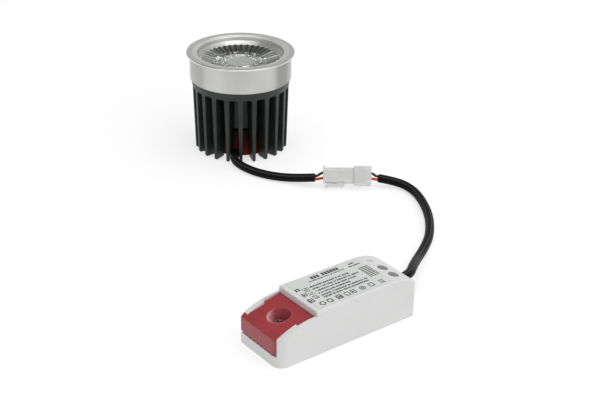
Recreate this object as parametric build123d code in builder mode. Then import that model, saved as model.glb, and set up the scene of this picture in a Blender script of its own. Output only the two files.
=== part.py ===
"""LED spot module and its mains driver, joined by two short leads and a plug."""
import math
import os

from build123d import *

os.makedirs("parts", exist_ok=True)

# Places of the two housings on the surface that they stand on
module_x = 36.6
module_y = 69.6
driver_end_x = 0.9
driver_y = -83.15

# Clearances
slip = 0.1
running = 0.15
thread_slip = 0.05

# Leads and their cores
lead_d = 3.8
wire_d = 1.2
core_gap = 0.3
core_offset = (wire_d + core_gap) / 2
floor_z = lead_d / 2

# Module: front ring
module_h = 46.9
rim_d = 50.0
rim_t = 0.85
rim_overhang = 1.5
rim_undercut = 0.3
rim_undercut_h = 0.45
ring_h = 12.5
ring_wall = 1.5
front_face_w = 5.0
front_wall_h = 2.1
front_bevel = 1.3
lens_lip_t = 0.6
ring_edge = 0.4
rim_inner_round = 0.25
rim_outer_round = 0.375

# Module: heatsink
band_h = 3.4
band_step = 0.35
fin_top_r = 22.4
fin_tip_r = 21.5
fin_count = 22
fin_top_t = 2.3
fin_tip_t = 1.4
fin_nose_h = 0.7
fin_nose_flare = 0.35
gap_inner_round = 0.4
gap_outer_round = 1.0
gap_overrun = 2.0
core_r = 14.2
cup_wall = 2.4
cup_depth = 8.2
pocket_r = 15.7
pocket_h = 14.2
tip_round = 0.8
lead_exit_angle = -133.3
lead_notch_w = 4.7
lead_notch_h = 4.4

# Module: light source and optic
pad_t = 0.25
board_t = 1.0
board_l = 18.8
board_w = 16.0
emitter_d = 12.0
emitter_t = 0.5
emitter_edge = 0.2
lens_flange_t = 1.2
lens_gap = 0.25
lens_rim_gap = 0.4
lens_pocket_flare = 0.3
lens_pocket_lip = 0.6
dish_depth = 1.9
disc_edge = 0.1
disc_r = 6.7
disc_rise = 0.25
led_pocket_h = 2.6
flute_count = 40
flute_depth = 0.45
flute_inner_share = 0.25
flute_w_share = 0.98
flute_over = 0.02
flute_reach = 0.6
holder_gap = 0.2
holder_wall = 0.9
holder_web_t = 0.8
holder_web_r = 9.2
holder_screw_r = 12.6
wire_bore_r = 1.8
wire_bore_place = 11.6
feed_start = 2.5
feed_cross_z = 4.6
feed_rise_z = 8.0
solder_inset = 1.0
holder_bore_margin = 0.4

# Module: rear cap
cap_r = 15.2
cap_foot = 1.0
cap_floor_t = 1.4
cap_wall = 1.4
cap_draft = 0.8
cap_h = 12.4
cap_lip = 0.2
cap_lip_t = 0.6
cap_lip_slope = 0.1
cap_edge = 1.1
cap_head_foot = 0.1
channel_overrun = 1.0
cap_screw_place = 10.2
cap_boss_r = 2.4
lead_inner_r = 6.0
lead_straight = 8.4
saddle_shift = 3.5
saddle_screw_y = 4.6
saddle_l = 4.0
saddle_foot_w = 3.6
saddle_t = 1.4
saddle_bite = 0.2
channel_inner_r = 0.5

# Screws
small_screw_r = 0.9
small_head_r = 1.7
small_head_h = 1.1
screw_r = 1.25
screw_head_r = 2.1
screw_head_h = 1.3
screw_edge = 0.35
screw_bite = 6.0
bore_spare = 0.5
recess_l = 2.2
small_recess_l = 2.0
slot_w = 0.5
slot_depth = 0.5

# Plug connector
plug_centre = (48.5, 4.4, 5.3)
plug_heading = -37.4
plug_roll = 52.0
plug_l = 21.3
plug_body_l = 13.7
plug_insert = 5.2
plug_w = 6.5
plug_t = 4.6
plug_edge = 0.3
shell_edge = 0.4
shell_wall = 0.7
pin_pitch = 2.5
cavity_w = 1.9
cavity_t = 2.1
wire_depth = 2.6
wire_mouth = 0.5
wire_out = 1.1
crimp_wall = 0.25
crimp_slack = 0.02
crimp_l = 1.8
receptacle_l = 8.0
pin_side = 0.64
pin_slack = 0.3
pin_hole_l = 5.0
pin_bite = 4.5
pin_stop_l = 0.8
lever_gap = 0.65
lever_t = 1.2
lever_hook = 0.55
lever_l = 8.6
lever_start = 0.8
lever_w = 2.4
lever_taper = 1.2
lever_nose = 0.7
hook_l = 1.3
hook_tip_l = 0.9
hook_start = 0.2
pivot_start = 5.7
pivot_l = 2.5
pivot_flare = 0.3
pivot_sink = 0.4
collar_h = 0.75
collar_t = 0.6

# Driver: board
pcb_t = 1.6
pcb_margin = 0.3
pcb_tongue_x = 12.4
board_end_gap = 1.05

# Driver: pieces on the board, placed along and across it
terminal_gap = 1.8
terminal_size = (3.8, 12.0, 6.8)
terminal_pitch = 6.4
terminal_entry_r = 1.3
terminal_entry_h = 2.6
terminal_screw_r = 1.2
terminal_screw_h = 2.6
terminal_well_h = 3.0
terminal_back_t = 0.8
terminal_slot_l = 2.0
terminal_place = (pcb_tongue_x + terminal_gap + terminal_size[0] / 2, 0.0)
film_gap = 2.0
film_size = (5.0, 12.0, 10.0)
film_edge = 0.5
film_x = terminal_place[0] + terminal_size[0] / 2 + film_gap + film_size[0] / 2
film_place = (film_x, -2.6)
bridge_size = (4.8, 4.0, 2.5)
bridge_leg_pitch = 3.6
bridge_shift = 0.5
bridge_place = (film_x + bridge_shift, 7.0)
input_capacitor_gap = 1.2
input_capacitor_r = 4.0
input_capacitor_h = 10.0
can_edge = 0.5
input_capacitor_x = film_x + film_size[0] / 2 + input_capacitor_gap + input_capacitor_r
input_capacitor_place = (input_capacitor_x, 4.6)
spool_r = 3.2
spool_core_r = 1.8
spool_h = 7.5
spool_flange_t = 1.0
spool_winding_r = 2.9
spool_shift = 0.7
spool_place = (input_capacitor_x - spool_shift, -5.2)
core_size = (5.0, 15.0, 9.6)
core_lift = 0.4
core_leg_w = 4.0
core_yoke_t = 1.6
core_window_end = 5.2
bobbin_wall = 0.5
bobbin_flange_t = 0.6
bobbin_size = (10.8, 10.2)
bobbin_rail_w = 3.2
bobbin_rail_shift = 1.0
winding_size = (10.4, 9.8)
winding_corner_r = 1.2
bobbin_reach = bobbin_size[0] / 2 + bobbin_rail_shift
transformer_x = input_capacitor_x + input_capacitor_r + bobbin_reach
output_capacitor_gap = 0.15
output_capacitor_r = 3.15
output_capacitor_h = 8.0
output_capacitor_x = transformer_x + bobbin_reach + output_capacitor_gap + output_capacitor_r
output_capacitor_place = (output_capacitor_x, 5.6)
chip_size = (4.9, 3.9, 1.6)
chip_leg_pitch = 1.27
chip_shift = 0.3
chip_place = (output_capacitor_x + chip_shift, -5.8)
diode_size = (3.6, 2.6, 2.0)
diode_leg_w = 1.5
diode_shift = 0.9
diode_place = (output_capacitor_x - diode_shift, -1.2)
leg_t = 0.25
leg_w = 0.5
leg_reach = 0.9
tail_y = 1.7
tail_pad_shift = 2.1
tail_x = output_capacitor_x + tail_pad_shift
tail_start = 1.1
tail_drop = 0.2
pcb_end_x = output_capacitor_x + output_capacitor_r + board_end_gap

# Driver: base
base_t = 1.5
post_h = 2.5
post_r = 1.6
peg_r = 0.8
peg_h = 2.2
plain_post_back = 0.5
plain_post_y = 7.6
peg_back = 4.4
peg_spacing = 9.8
peg_y = 7.8
boss_r = 2.9
cradle_gap = 2.5
cradle_end_gap = 0.7
cradle_l = 3.2
cradle_w = 11.0
cradle_x = pcb_end_x + cradle_gap

# Driver: housing
driver_w = 22.9
driver_h = 17.85
mains_near_r = 4.0
mains_far_r = 0.8
output_corner_r = 1.2
top_round = 0.6
nearness = 0.1
block_front_round = 0.5
wall = 1.6
driver_l = cradle_x + cradle_l + cradle_end_gap + wall
block_x = 16.5
slope_l = 10.9
slope_low_l = 5.5
slope_x = driver_l - slope_l
slope_mid_x = driver_l - slope_low_l
slope_mid_h = 16.9
end_h = 14.3
cheek_front_h = 11.3
cheek_mid_x = 6.0
cheek_mid_h = 14.0
cheek_back_h = 15.8
terminal_room_w = 16.8
front_wall_top = 4.2
room_roof_z = 14.2
cavity_end_drop = 1.1
cavity_slope_shift = 0.2
lead_height = 9.0
lead_grip = 6.0

# Driver: terminal cover
cover_t = 1.5
cover_edge_h = 10.7
cover_bevel_x = 2.0
cover_bevel_h = 12.4
cover_back_h = 15.5
cover_front_w = 18.4
cover_back_w = 20.6
cover_lap_l = 1.4
cover_step_x = 8.8
tooth_h = 0.85
tooth_count = 7
tooth_pitch = 2.2
cover_round = 0.5
cover_bevel_shift = 0.7
cover_edge_drop = 0.8
well_x = 8.6
well_rim_r = 4.45
well_rim_z = 16.0
well_floor_r = 3.1
well_wall = 0.8
well_floor_z = 9.0
well_floor_t = 1.0
cover_screw_r = 1.0
cover_screw_l = 5.5
cover_head_r = 2.6
cover_head_h = 1.8
cover_head_edge = 0.5
cover_recess_l = 3.4
cover_recess_w = 0.7
cover_recess_h = 1.0

# Driver: lead clamp, label and plugs
clamp_gap = 0.1
clamp_h = 2.6
clamp_screw_y = 3.8
clamp_screw_l = 4.5
clamp_screw_spare = 0.5
clamp_head_r = 1.5
label_start_x = 18.6
label_w = 20.2
label_t = 0.15
plug_r = 2.1
plug_back = 6.7
plug_x = driver_l - plug_back
plug_ys = (0.0, -6.1)
plug_low_z = 14.9
marker_r = 1.2
marker_floor_z = 16.8
label_corner_r = 0.6
marker_back = 7.5
marker_place = (driver_l - marker_back, 6.4)

# Planes and axes of the module
module_side = Plane(origin=(module_x, module_y, 0), x_dir=(1, 0, 0), z_dir=(0, -1, 0))
module_axis = Axis((module_x, module_y, 0), (0, 0, 1))
exit_cos = math.cos(math.radians(lead_exit_angle))
exit_sin = math.sin(math.radians(lead_exit_angle))
exit_plan = Plane(origin=(module_x, module_y, 0), x_dir=(exit_cos, exit_sin, 0))

# Heights and radii that follow from the sizes above
ring_r = rim_d / 2 - rim_overhang
ring_low_z = module_h - ring_h
ring_bore_r = ring_r - ring_wall
front_r = rim_d / 2 - front_face_w
bevel_z = module_h - front_wall_h
optic_r = front_r - front_bevel
optic_z = bevel_z - front_bevel
lens_top_z = optic_z - lens_lip_t
lens_seat_z = lens_top_z - lens_flange_t
neck_r = ring_bore_r - slip
cup_r = neck_r - cup_wall
holder_inner_r = cup_r - holder_gap - holder_wall
cup_floor_z = lens_seat_z - cup_depth
gap_top_z = ring_low_z - band_h
board_z = cup_floor_z + pad_t
emitter_z = board_z + board_t
lens_low_z = emitter_z + emitter_t + lens_gap
web_top_z = emitter_z + holder_web_t
cap_floor_z = cap_foot + cap_floor_t
saddle_place = lead_inner_r + saddle_shift
saddle_top_z = lead_d + slip + saddle_t


def module_point(along, across, height):
    """A point of the module, from its distance along and across the lead's exit."""
    return exit_plan.from_local_coords(Vector(along, across, height))


def arc_radii(points):
    """Radii of a route's arcs, each as large as its two runs allow."""
    radii = []
    for before, corner, after in zip(points, points[1:], points[2:]):
        run_in = Vector(corner) - Vector(before)
        run_out = Vector(after) - Vector(corner)
        half_turn = math.radians(run_in.get_angle(run_out) / 2)
        radii.append(0.45 * min(run_in.length, run_out.length) / math.tan(half_turn))
    return radii


def tube(name, points, diameter):
    """A round lead or wire along straight runs joined by tangent arcs."""
    radii = arc_radii(points)
    with BuildPart() as made:
        with BuildLine() as route:
            FilletPolyline(*points, radius=radii)
        with BuildSketch(route.line ^ 0):
            Circle(diameter / 2)
        sweep()
    length = sum(edge.length for edge in route.edges())
    ratio = made.part.volume / (math.pi * diameter**2 / 4 * length)
    print(name, "length", round(length, 1), "volume ratio", round(ratio, 4))
    print("   radii in diameters", [round(radius / diameter, 1) for radius in radii])
    return made


def save(made, name):
    """Labels a finished piece and writes it."""
    made.part.label = name
    export_step(made.part, f"parts/{name}.step")


# Space between two fins, wider towards the tips, which it leaves rounded
with BuildPart() as fin_gap:
    for radius, corner in ((core_r, gap_inner_round), (fin_top_r + gap_overrun, gap_outer_round)):
        half_pitch = radius * math.tan(math.pi / fin_count)
        lean = math.cos(math.pi / fin_count)
        top_w = half_pitch - fin_top_t / 2 / lean
        low_w = half_pitch - fin_tip_t / 2 / lean
        with BuildSketch(Plane(origin=(radius, 0, 0), x_dir=(0, 1, 0), z_dir=(1, 0, 0))) as section:
            with BuildLine():
                Polyline(
                    (-top_w, gap_top_z),
                    (top_w, gap_top_z),
                    (low_w, fin_nose_h),
                    (low_w + fin_nose_flare, 0),
                    (low_w + fin_nose_flare, -1),
                    (-low_w - fin_nose_flare, -1),
                    (-low_w - fin_nose_flare, 0),
                    (-low_w, fin_nose_h),
                    close=True,
                )
            make_face()
            fillet(section.vertices().group_by(Axis.Y)[-1], radius=corner)
    loft(ruled=True)

# Heatsink: die-cast body with a cup for the light source above and fins all round
with BuildPart() as heatsink:
    with BuildSketch(module_side) as section:
        with BuildLine():
            Polyline(
                (0, pocket_h),
                (pocket_r, pocket_h),
                (pocket_r, 0),
                (fin_tip_r, 0),
                (fin_top_r, gap_top_z),
                (ring_r - band_step, ring_low_z),
                (neck_r, ring_low_z),
                (neck_r, lens_seat_z - slip),
                (cup_r, lens_seat_z - slip),
                (cup_r, cup_floor_z),
                (0, cup_floor_z),
                close=True,
            )
        make_face()
        fillet(section.vertices().group_by(Axis.Y)[0], radius=tip_round)
    revolve(axis=module_axis)
    with Locations((module_x, module_y, 0)):
        with PolarLocations(0, fin_count, start_angle=lead_exit_angle):
            add(fin_gap.part, mode=Mode.SUBTRACT)
    with BuildSketch(exit_plan):
        with Locations(((pocket_r + fin_top_r) / 2, 0)):
            Rectangle(fin_top_r - pocket_r + 2 * gap_overrun, lead_notch_w)
    extrude(amount=lead_notch_h, mode=Mode.SUBTRACT)
    with BuildSketch(exit_plan.offset(pocket_h)):
        with Locations((-wire_bore_place, 0)):
            Circle(wire_bore_r)
    extrude(amount=cup_floor_z - pocket_h, mode=Mode.SUBTRACT)
    with BuildSketch(exit_plan.offset(pocket_h)):
        with Locations((0, cap_screw_place), (0, -cap_screw_place)):
            Circle(screw_r + thread_slip)
    extrude(amount=screw_bite + bore_spare, mode=Mode.SUBTRACT)
    with BuildSketch(exit_plan.offset(cup_floor_z)):
        with Locations((0, holder_screw_r), (0, -holder_screw_r)):
            Circle(screw_r + thread_slip)
    extrude(amount=-screw_bite - bore_spare, mode=Mode.SUBTRACT)
save(heatsink, "heatsink")

# Front ring: turned aluminium rim that holds the lens in the cup
with BuildPart() as front_ring:
    with BuildSketch(module_side) as section:
        with BuildLine():
            Polyline(
                (front_r, module_h),
                (front_r, bevel_z),
                (optic_r, optic_z),
                (optic_r, lens_top_z),
                (ring_bore_r, lens_top_z),
                (ring_bore_r, ring_low_z),
                (ring_r - ring_edge, ring_low_z),
                (ring_r, ring_low_z + ring_edge),
                (ring_r, module_h - rim_t - rim_undercut_h),
                (ring_r - rim_undercut, module_h - rim_t - rim_undercut),
                (ring_r - rim_undercut, module_h - rim_t),
                (rim_d / 2, module_h - rim_t),
                (rim_d / 2, module_h),
                close=True,
            )
        make_face()
        fillet(section.vertices().group_by(Axis.X)[-1], radius=rim_outer_round)
        fillet(section.vertices().group_by(Axis.Y)[-1].sort_by(Axis.X)[0], radius=rim_inner_round)
    revolve(axis=module_axis)
save(front_ring, "front_ring")

# Groove between two flutes of the lens
with BuildPart() as flute:
    for radius, depth in ((disc_r, flute_depth * flute_inner_share), (optic_r + flute_reach, flute_depth)):
        surface_z = optic_z - slip - dish_depth * (optic_r - radius) / (optic_r - disc_r)
        half_w = radius * math.tan(math.pi / flute_count) * flute_w_share
        with BuildSketch(Plane(origin=(radius, 0, 0), x_dir=(0, 1, 0), z_dir=(1, 0, 0))):
            with BuildLine():
                Polyline(
                    (0, surface_z - depth),
                    (half_w, surface_z + flute_over),
                    (half_w, surface_z + 1),
                    (-half_w, surface_z + 1),
                    (-half_w, surface_z + flute_over),
                    close=True,
                )
            make_face()
    loft(ruled=True)

# Lens: one clear moulding with a fluted dish round a raised centre disc
with BuildPart() as lens:
    with BuildSketch(module_side):
        with BuildLine():
            Polyline(
                (0, optic_z - slip - dish_depth + disc_rise),
                (disc_r - disc_edge, optic_z - slip - dish_depth + disc_rise),
                (disc_r, optic_z - slip - dish_depth),
                (optic_r - running, optic_z - slip),
                (optic_r - running, lens_top_z),
                (ring_bore_r - lens_rim_gap, lens_top_z),
                (ring_bore_r - lens_rim_gap, lens_seat_z),
                (holder_inner_r - slip, lens_seat_z),
                (emitter_d / 2 + lens_pocket_lip + lens_pocket_flare, lens_low_z),
                (emitter_d / 2 + lens_pocket_flare, lens_low_z),
                (emitter_d / 2, lens_low_z + led_pocket_h - lens_pocket_lip),
                (0, lens_low_z + led_pocket_h),
                close=True,
            )
        make_face()
    revolve(axis=module_axis)
    with Locations((module_x, module_y, 0)):
        with PolarLocations(0, flute_count):
            add(flute.part, mode=Mode.SUBTRACT)
save(lens, "lens")

# Lens holder: moulded ring that centres the lens and presses the board down
with BuildPart() as lens_holder:
    with BuildSketch(module_side):
        with BuildLine():
            Polyline(
                (holder_web_r, emitter_z),
                (cup_r - holder_gap, emitter_z),
                (cup_r - holder_gap, lens_seat_z),
                (holder_inner_r, lens_seat_z),
                (holder_inner_r, web_top_z),
                (holder_web_r, web_top_z),
                close=True,
            )
        make_face()
    revolve(axis=module_axis)
    with BuildSketch(exit_plan.offset(emitter_z)):
        with Locations((-wire_bore_place, 0)):
            Circle(wire_bore_r + holder_bore_margin)
        with Locations((-wire_bore_place / 2, 0)):
            Rectangle(wire_bore_place, 2 * wire_bore_r)
        with Locations((0, holder_screw_r), (0, -holder_screw_r)):
            Circle(screw_r + running)
    extrude(amount=holder_web_t, mode=Mode.SUBTRACT)
save(lens_holder, "lens_holder")

# Thermal pad under the board
with BuildPart() as thermal_pad:
    with BuildSketch(exit_plan.offset(cup_floor_z)):
        Rectangle(board_l, board_w)
    extrude(amount=pad_t)
save(thermal_pad, "thermal_pad")

# LED board with its two solder pads
with BuildPart() as led_board:
    with BuildSketch(exit_plan.offset(board_z)):
        Rectangle(board_l, board_w)
    extrude(amount=board_t)
save(led_board, "led_board")

# Light-emitting disc in the middle of the board
with BuildPart() as led_emitter:
    with BuildSketch(exit_plan.offset(emitter_z)):
        Circle(emitter_d / 2)
    extrude(amount=emitter_t)
    fillet(led_emitter.edges().group_by(Axis.Z)[-1], radius=emitter_edge)
save(led_emitter, "led_emitter")

# Two screws that hold the lens holder and the board down
with BuildPart() as holder_screws:
    with BuildSketch(exit_plan.offset(web_top_z)):
        with Locations((0, holder_screw_r), (0, -holder_screw_r)):
            Circle(screw_head_r)
    extrude(amount=screw_head_h)
    fillet(holder_screws.edges().group_by(Axis.Z)[-1], radius=screw_edge)
    with BuildSketch(exit_plan.offset(web_top_z)):
        with Locations((0, holder_screw_r), (0, -holder_screw_r)):
            Circle(screw_r)
    extrude(amount=-(web_top_z - cup_floor_z + screw_bite))
    with BuildSketch(exit_plan.offset(web_top_z + screw_head_h - slot_depth)):
        with Locations((0, holder_screw_r), (0, -holder_screw_r)):
            Rectangle(recess_l, slot_w)
            Rectangle(slot_w, recess_l)
    extrude(amount=slot_depth, mode=Mode.SUBTRACT)
save(holder_screws, "holder_screws")

# Rear cap: red moulded cup between the fins, with a channel for the lead
with BuildPart() as rear_cap:
    with BuildSketch(module_side) as section:
        with BuildLine():
            Polyline(
                (0, cap_foot),
                (cap_r + cap_lip, cap_foot),
                (cap_r + cap_lip, cap_foot + cap_lip_t),
                (cap_r, cap_foot + cap_lip_t + cap_lip_slope),
                (cap_r - cap_draft, cap_foot + cap_h),
                (cap_r - cap_draft - cap_wall, cap_foot + cap_h),
                (cap_r - cap_wall, cap_floor_z),
                (0, cap_floor_z),
                close=True,
            )
        make_face()
        corner = section.vertices().sort_by_distance((cap_r - cap_draft, cap_foot + cap_h))[0]
        fillet(corner, radius=cap_edge)
    revolve(axis=module_axis)
    with BuildSketch(exit_plan.offset(cap_foot)):
        with Locations((0, cap_screw_place), (0, -cap_screw_place)):
            Circle(cap_boss_r)
    extrude(amount=pocket_h - cap_foot)
    with BuildSketch(exit_plan.offset(cap_foot)):
        with Locations((0, cap_screw_place), (0, -cap_screw_place)):
            Circle(screw_r + running)
    extrude(amount=pocket_h - cap_foot, mode=Mode.SUBTRACT)
    with BuildSketch(exit_plan.offset(cap_foot)):
        with Locations(((channel_inner_r + cap_r + channel_overrun) / 2, 0)):
            Rectangle(cap_r + channel_overrun - channel_inner_r, lead_d + 2 * running)
        with Locations((saddle_place, saddle_screw_y), (saddle_place, -saddle_screw_y)):
            Circle(small_screw_r + thread_slip)
    extrude(amount=lead_d + slip - cap_foot, mode=Mode.SUBTRACT)
save(rear_cap, "rear_cap")

# Two screws that hold the rear cap to the heatsink
with BuildPart() as cap_screws:
    with BuildSketch(exit_plan.offset(cap_foot)):
        with Locations((0, cap_screw_place), (0, -cap_screw_place)):
            Circle(screw_head_r)
    extrude(amount=cap_head_foot - cap_foot)
    with BuildSketch(exit_plan.offset(cap_foot)):
        with Locations((0, cap_screw_place), (0, -cap_screw_place)):
            Circle(screw_r)
    extrude(amount=pocket_h - cap_foot + screw_bite)
    with BuildSketch(exit_plan.offset(cap_head_foot)):
        with Locations((0, cap_screw_place), (0, -cap_screw_place)):
            Rectangle(recess_l, slot_w)
            Rectangle(slot_w, recess_l)
    extrude(amount=slot_depth, mode=Mode.SUBTRACT)
save(cap_screws, "cap_screws")

# Saddle that grips the lead inside the cap
with BuildPart() as lead_saddle:
    with BuildSketch(exit_plan.offset(cap_floor_z)):
        with Locations((saddle_place, saddle_screw_y), (saddle_place, -saddle_screw_y)):
            Rectangle(saddle_l, saddle_foot_w)
    extrude(amount=lead_d + slip - cap_floor_z)
    with BuildSketch(exit_plan.offset(lead_d + slip)):
        with Locations((saddle_place, 0)):
            Rectangle(saddle_l, 2 * saddle_screw_y + saddle_foot_w)
    extrude(amount=saddle_t)
    with BuildSketch(exit_plan.offset(cap_floor_z)):
        with Locations((saddle_place, saddle_screw_y), (saddle_place, -saddle_screw_y)):
            Circle(small_screw_r + running)
    extrude(amount=saddle_top_z - cap_floor_z, mode=Mode.SUBTRACT)
save(lead_saddle, "lead_saddle")

# Screws of the saddle
with BuildPart() as saddle_screws:
    with BuildSketch(exit_plan.offset(saddle_top_z)):
        with Locations((saddle_place, saddle_screw_y), (saddle_place, -saddle_screw_y)):
            Circle(small_head_r)
    extrude(amount=small_head_h)
    with BuildSketch(exit_plan.offset(saddle_top_z)):
        with Locations((saddle_place, saddle_screw_y), (saddle_place, -saddle_screw_y)):
            Circle(small_screw_r)
    extrude(amount=-(saddle_top_z - cap_foot - saddle_bite))
    with BuildSketch(exit_plan.offset(saddle_top_z + small_head_h - slot_depth)):
        with Locations((saddle_place, saddle_screw_y), (saddle_place, -saddle_screw_y)):
            Rectangle(small_recess_l, slot_w)
    extrude(amount=slot_depth, mode=Mode.SUBTRACT)
save(saddle_screws, "saddle_screws")


def feed_route(side):
    """Route of a core from the lead's inner end up to the board."""
    offset = side * core_offset
    return [
        module_point(lead_inner_r, offset, floor_z),
        module_point(lead_inner_r - feed_start, offset, floor_z),
        module_point(-feed_start, offset, feed_cross_z),
        module_point(-wire_bore_place, offset, feed_rise_z),
        module_point(-wire_bore_place, offset, emitter_z + wire_d / 2),
        module_point(-board_l / 2 + solder_inset, offset, emitter_z + wire_d / 2),
    ]


# Cores that run from the lead up through the heatsink to the board
red_feed_wire = tube("red feed wire", feed_route(1), wire_d)
save(red_feed_wire, "red_feed_wire")
black_feed_wire = tube("black feed wire", feed_route(-1), wire_d)
save(black_feed_wire, "black_feed_wire")

# Module lead: sheathed, from the cap out between two fins to the plug
module_lead_route = [
    module_point(lead_inner_r, 0, floor_z),
    module_point(lead_inner_r + lead_straight, 0, floor_z),
    (21.2, 53.55, 1.9),
    (20.2, 45.7, 1.9),
    (21.8, 36.1, 1.9),
    (26.7, 27.1, 1.9),
    (32.6, 19.3, 2.7),
    (37.1, 13.0, 4.2),
]
module_lead = tube("module lead", module_lead_route, lead_d)
save(module_lead, "module_lead")

# Driver lead: sheathed, from the plug round to the driver's end wall
driver_lead_route = [
    (59.6, -3.8, 4.2),
    (65.4, -7.9, 2.8),
    (68.2, -14.8, 1.9),
    (65.6, -25.2, 1.9),
    (57.4, -40.2, 1.9),
    (45.6, -53.8, 1.9),
    (34.4, -62.0, 2.1),
    (26.0, -67.8, 3.6),
    (17.0, -75.1, 6.6),
    (7.6, driver_y, lead_height),
    (driver_end_x - lead_grip, driver_y, lead_height),
]
driver_lead = tube("driver lead", driver_lead_route, lead_d)
save(driver_lead, "driver_lead")

# Frame of the plug connector: along its length, and across its face
heading = math.radians(plug_heading)
roll = math.radians(plug_roll)
plug_along = Vector(math.cos(heading), math.sin(heading), 0)
plug_across = Vector(
    -math.sin(heading) * math.cos(roll),
    math.cos(heading) * math.cos(roll),
    math.sin(roll),
)
plug_face = Plane(origin=plug_centre, x_dir=plug_along, z_dir=plug_along.cross(plug_across))
plug_section = Plane(origin=plug_centre, x_dir=plug_across, z_dir=plug_along)
plug_start = -plug_l / 2
shell_start = plug_start + plug_body_l
plug_tip = shell_start + plug_insert
cavities = [(pin_pitch / 2, 0), (-pin_pitch / 2, 0)]

# Plug housing: moulded body with its latch lever, collar and two cavities
with BuildPart() as plug_housing:
    with BuildSketch(plug_section.offset(plug_start)) as section:
        Rectangle(plug_w, plug_t)
        fillet(section.vertices(), radius=plug_edge)
    extrude(amount=plug_tip - plug_start)
    with BuildSketch(plug_section.offset(plug_start)):
        with Locations((plug_w / 2, 0)):
            Rectangle(2 * collar_h, plug_t)
    extrude(amount=collar_t)
    with BuildSketch(plug_face):
        with BuildLine():
            Polyline(
                (plug_start + lever_start, -plug_w / 2 - lever_gap - lever_t / 2),
                (plug_start + lever_start + lever_taper, -plug_w / 2 - lever_gap),
                (plug_start + pivot_start, -plug_w / 2 - lever_gap),
                (plug_start + pivot_start + pivot_flare, -plug_w / 2 + pivot_sink),
                (plug_start + pivot_start + pivot_l - pivot_flare, -plug_w / 2 + pivot_sink),
                (plug_start + pivot_start + pivot_l, -plug_w / 2 - lever_gap),
                (plug_start + lever_start + lever_l, -plug_w / 2 - lever_gap),
                (plug_start + lever_start + lever_l, -plug_w / 2 - lever_gap - lever_t / 2),
                (plug_start + lever_start + lever_l - lever_nose, -plug_w / 2 - lever_gap - lever_t),
                (plug_start + lever_start + hook_l, -plug_w / 2 - lever_gap - lever_t),
                (plug_start + lever_start + hook_tip_l, -plug_w / 2 - lever_gap - lever_t - lever_hook),
                (plug_start + lever_start + hook_start, -plug_w / 2 - lever_gap - lever_t - lever_hook / 2),
                close=True,
            )
        make_face()
    extrude(amount=lever_w / 2, both=True)
    with BuildSketch(plug_section.offset(plug_start)):
        with Locations(*cavities):
            Rectangle(cavity_w, cavity_t)
    extrude(amount=plug_tip - plug_start, mode=Mode.SUBTRACT)
save(plug_housing, "plug_housing")

# Socket housing: shell that takes the plug's nose, with two cavities behind
with BuildPart() as socket_housing:
    with BuildSketch(plug_section.offset(shell_start)) as section:
        Rectangle(plug_w + 2 * shell_wall, plug_t + 2 * shell_wall)
        fillet(section.vertices(), radius=shell_edge)
    extrude(amount=plug_l / 2 - shell_start)
    with BuildSketch(plug_section.offset(shell_start)):
        Rectangle(plug_w + 2 * thread_slip, plug_t + 2 * thread_slip)
    extrude(amount=plug_insert + slip, mode=Mode.SUBTRACT)
    with BuildSketch(plug_section.offset(plug_tip)):
        with Locations(*cavities):
            Rectangle(cavity_w, cavity_t)
    extrude(amount=plug_l / 2 - plug_tip, mode=Mode.SUBTRACT)
save(socket_housing, "socket_housing")

# Receptacle contacts, each crimped on its wire, in the plug
crimp_r = wire_d / 2 + crimp_wall
plug_wire_end = plug_start + wire_depth
with BuildPart() as plug_contacts:
    with BuildSketch(plug_section.offset(plug_wire_end - crimp_l)):
        with Locations(*cavities):
            Circle(crimp_r)
            Circle(wire_d / 2 + crimp_slack, mode=Mode.SUBTRACT)
    extrude(amount=crimp_l)
    with BuildSketch(plug_section.offset(plug_wire_end)):
        with Locations(*cavities):
            Rectangle(cavity_w - 2 * slip, cavity_t - 2 * slip)
    extrude(amount=receptacle_l)
    with BuildSketch(plug_section.offset(plug_wire_end + receptacle_l)):
        with Locations(*cavities):
            Rectangle(pin_side + pin_slack, pin_side + pin_slack)
    extrude(amount=-pin_hole_l, mode=Mode.SUBTRACT)
save(plug_contacts, "plug_contacts")

# Pin contacts, each crimped on its wire, in the socket
socket_wire_end = plug_l / 2 - wire_depth
pin_start = plug_wire_end + receptacle_l - pin_bite
with BuildPart() as socket_contacts:
    with BuildSketch(plug_section.offset(socket_wire_end)):
        with Locations(*cavities):
            Circle(crimp_r)
            Circle(wire_d / 2 + crimp_slack, mode=Mode.SUBTRACT)
    extrude(amount=crimp_l)
    with BuildSketch(plug_section.offset(socket_wire_end)):
        with Locations(*cavities):
            Circle(crimp_r)
    extrude(amount=-pin_stop_l)
    with BuildSketch(plug_section.offset(pin_start)):
        with Locations(*cavities):
            Rectangle(pin_side, pin_side)
    extrude(amount=socket_wire_end - pin_stop_l - pin_start)
save(socket_contacts, "socket_contacts")


def wire_route(sheath_end, sheath_before, side, end):
    """Route of a bare core from a sheath's end into its crimp."""
    outward = (Vector(sheath_end) - Vector(sheath_before)).normalized()
    spread = side * core_offset
    start = Vector(sheath_end) + plug_across * spread
    start = start - outward * (start - Vector(sheath_end)).dot(outward)
    inward = 1 if end < 0 else -1
    lane = Vector(plug_centre) + plug_across * (side * pin_pitch / 2)
    mouth = lane + plug_along * (end - inward * wire_mouth)
    crimp = lane + plug_along * (end + inward * wire_depth)
    return [start, start + outward * wire_out, mouth, crimp]


# Short bare cores between the sheaths and the connector
for name, route, side, end in (
    ("module_black_wire", module_lead_route, 1, plug_start),
    ("module_red_wire", module_lead_route, -1, plug_start),
    ("driver_black_wire", driver_lead_route[::-1], 1, -plug_start),
    ("driver_red_wire", driver_lead_route[::-1], -1, -plug_start),
):
    save(tube(name, wire_route(route[-1], route[-2], side, end), wire_d), name)

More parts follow.
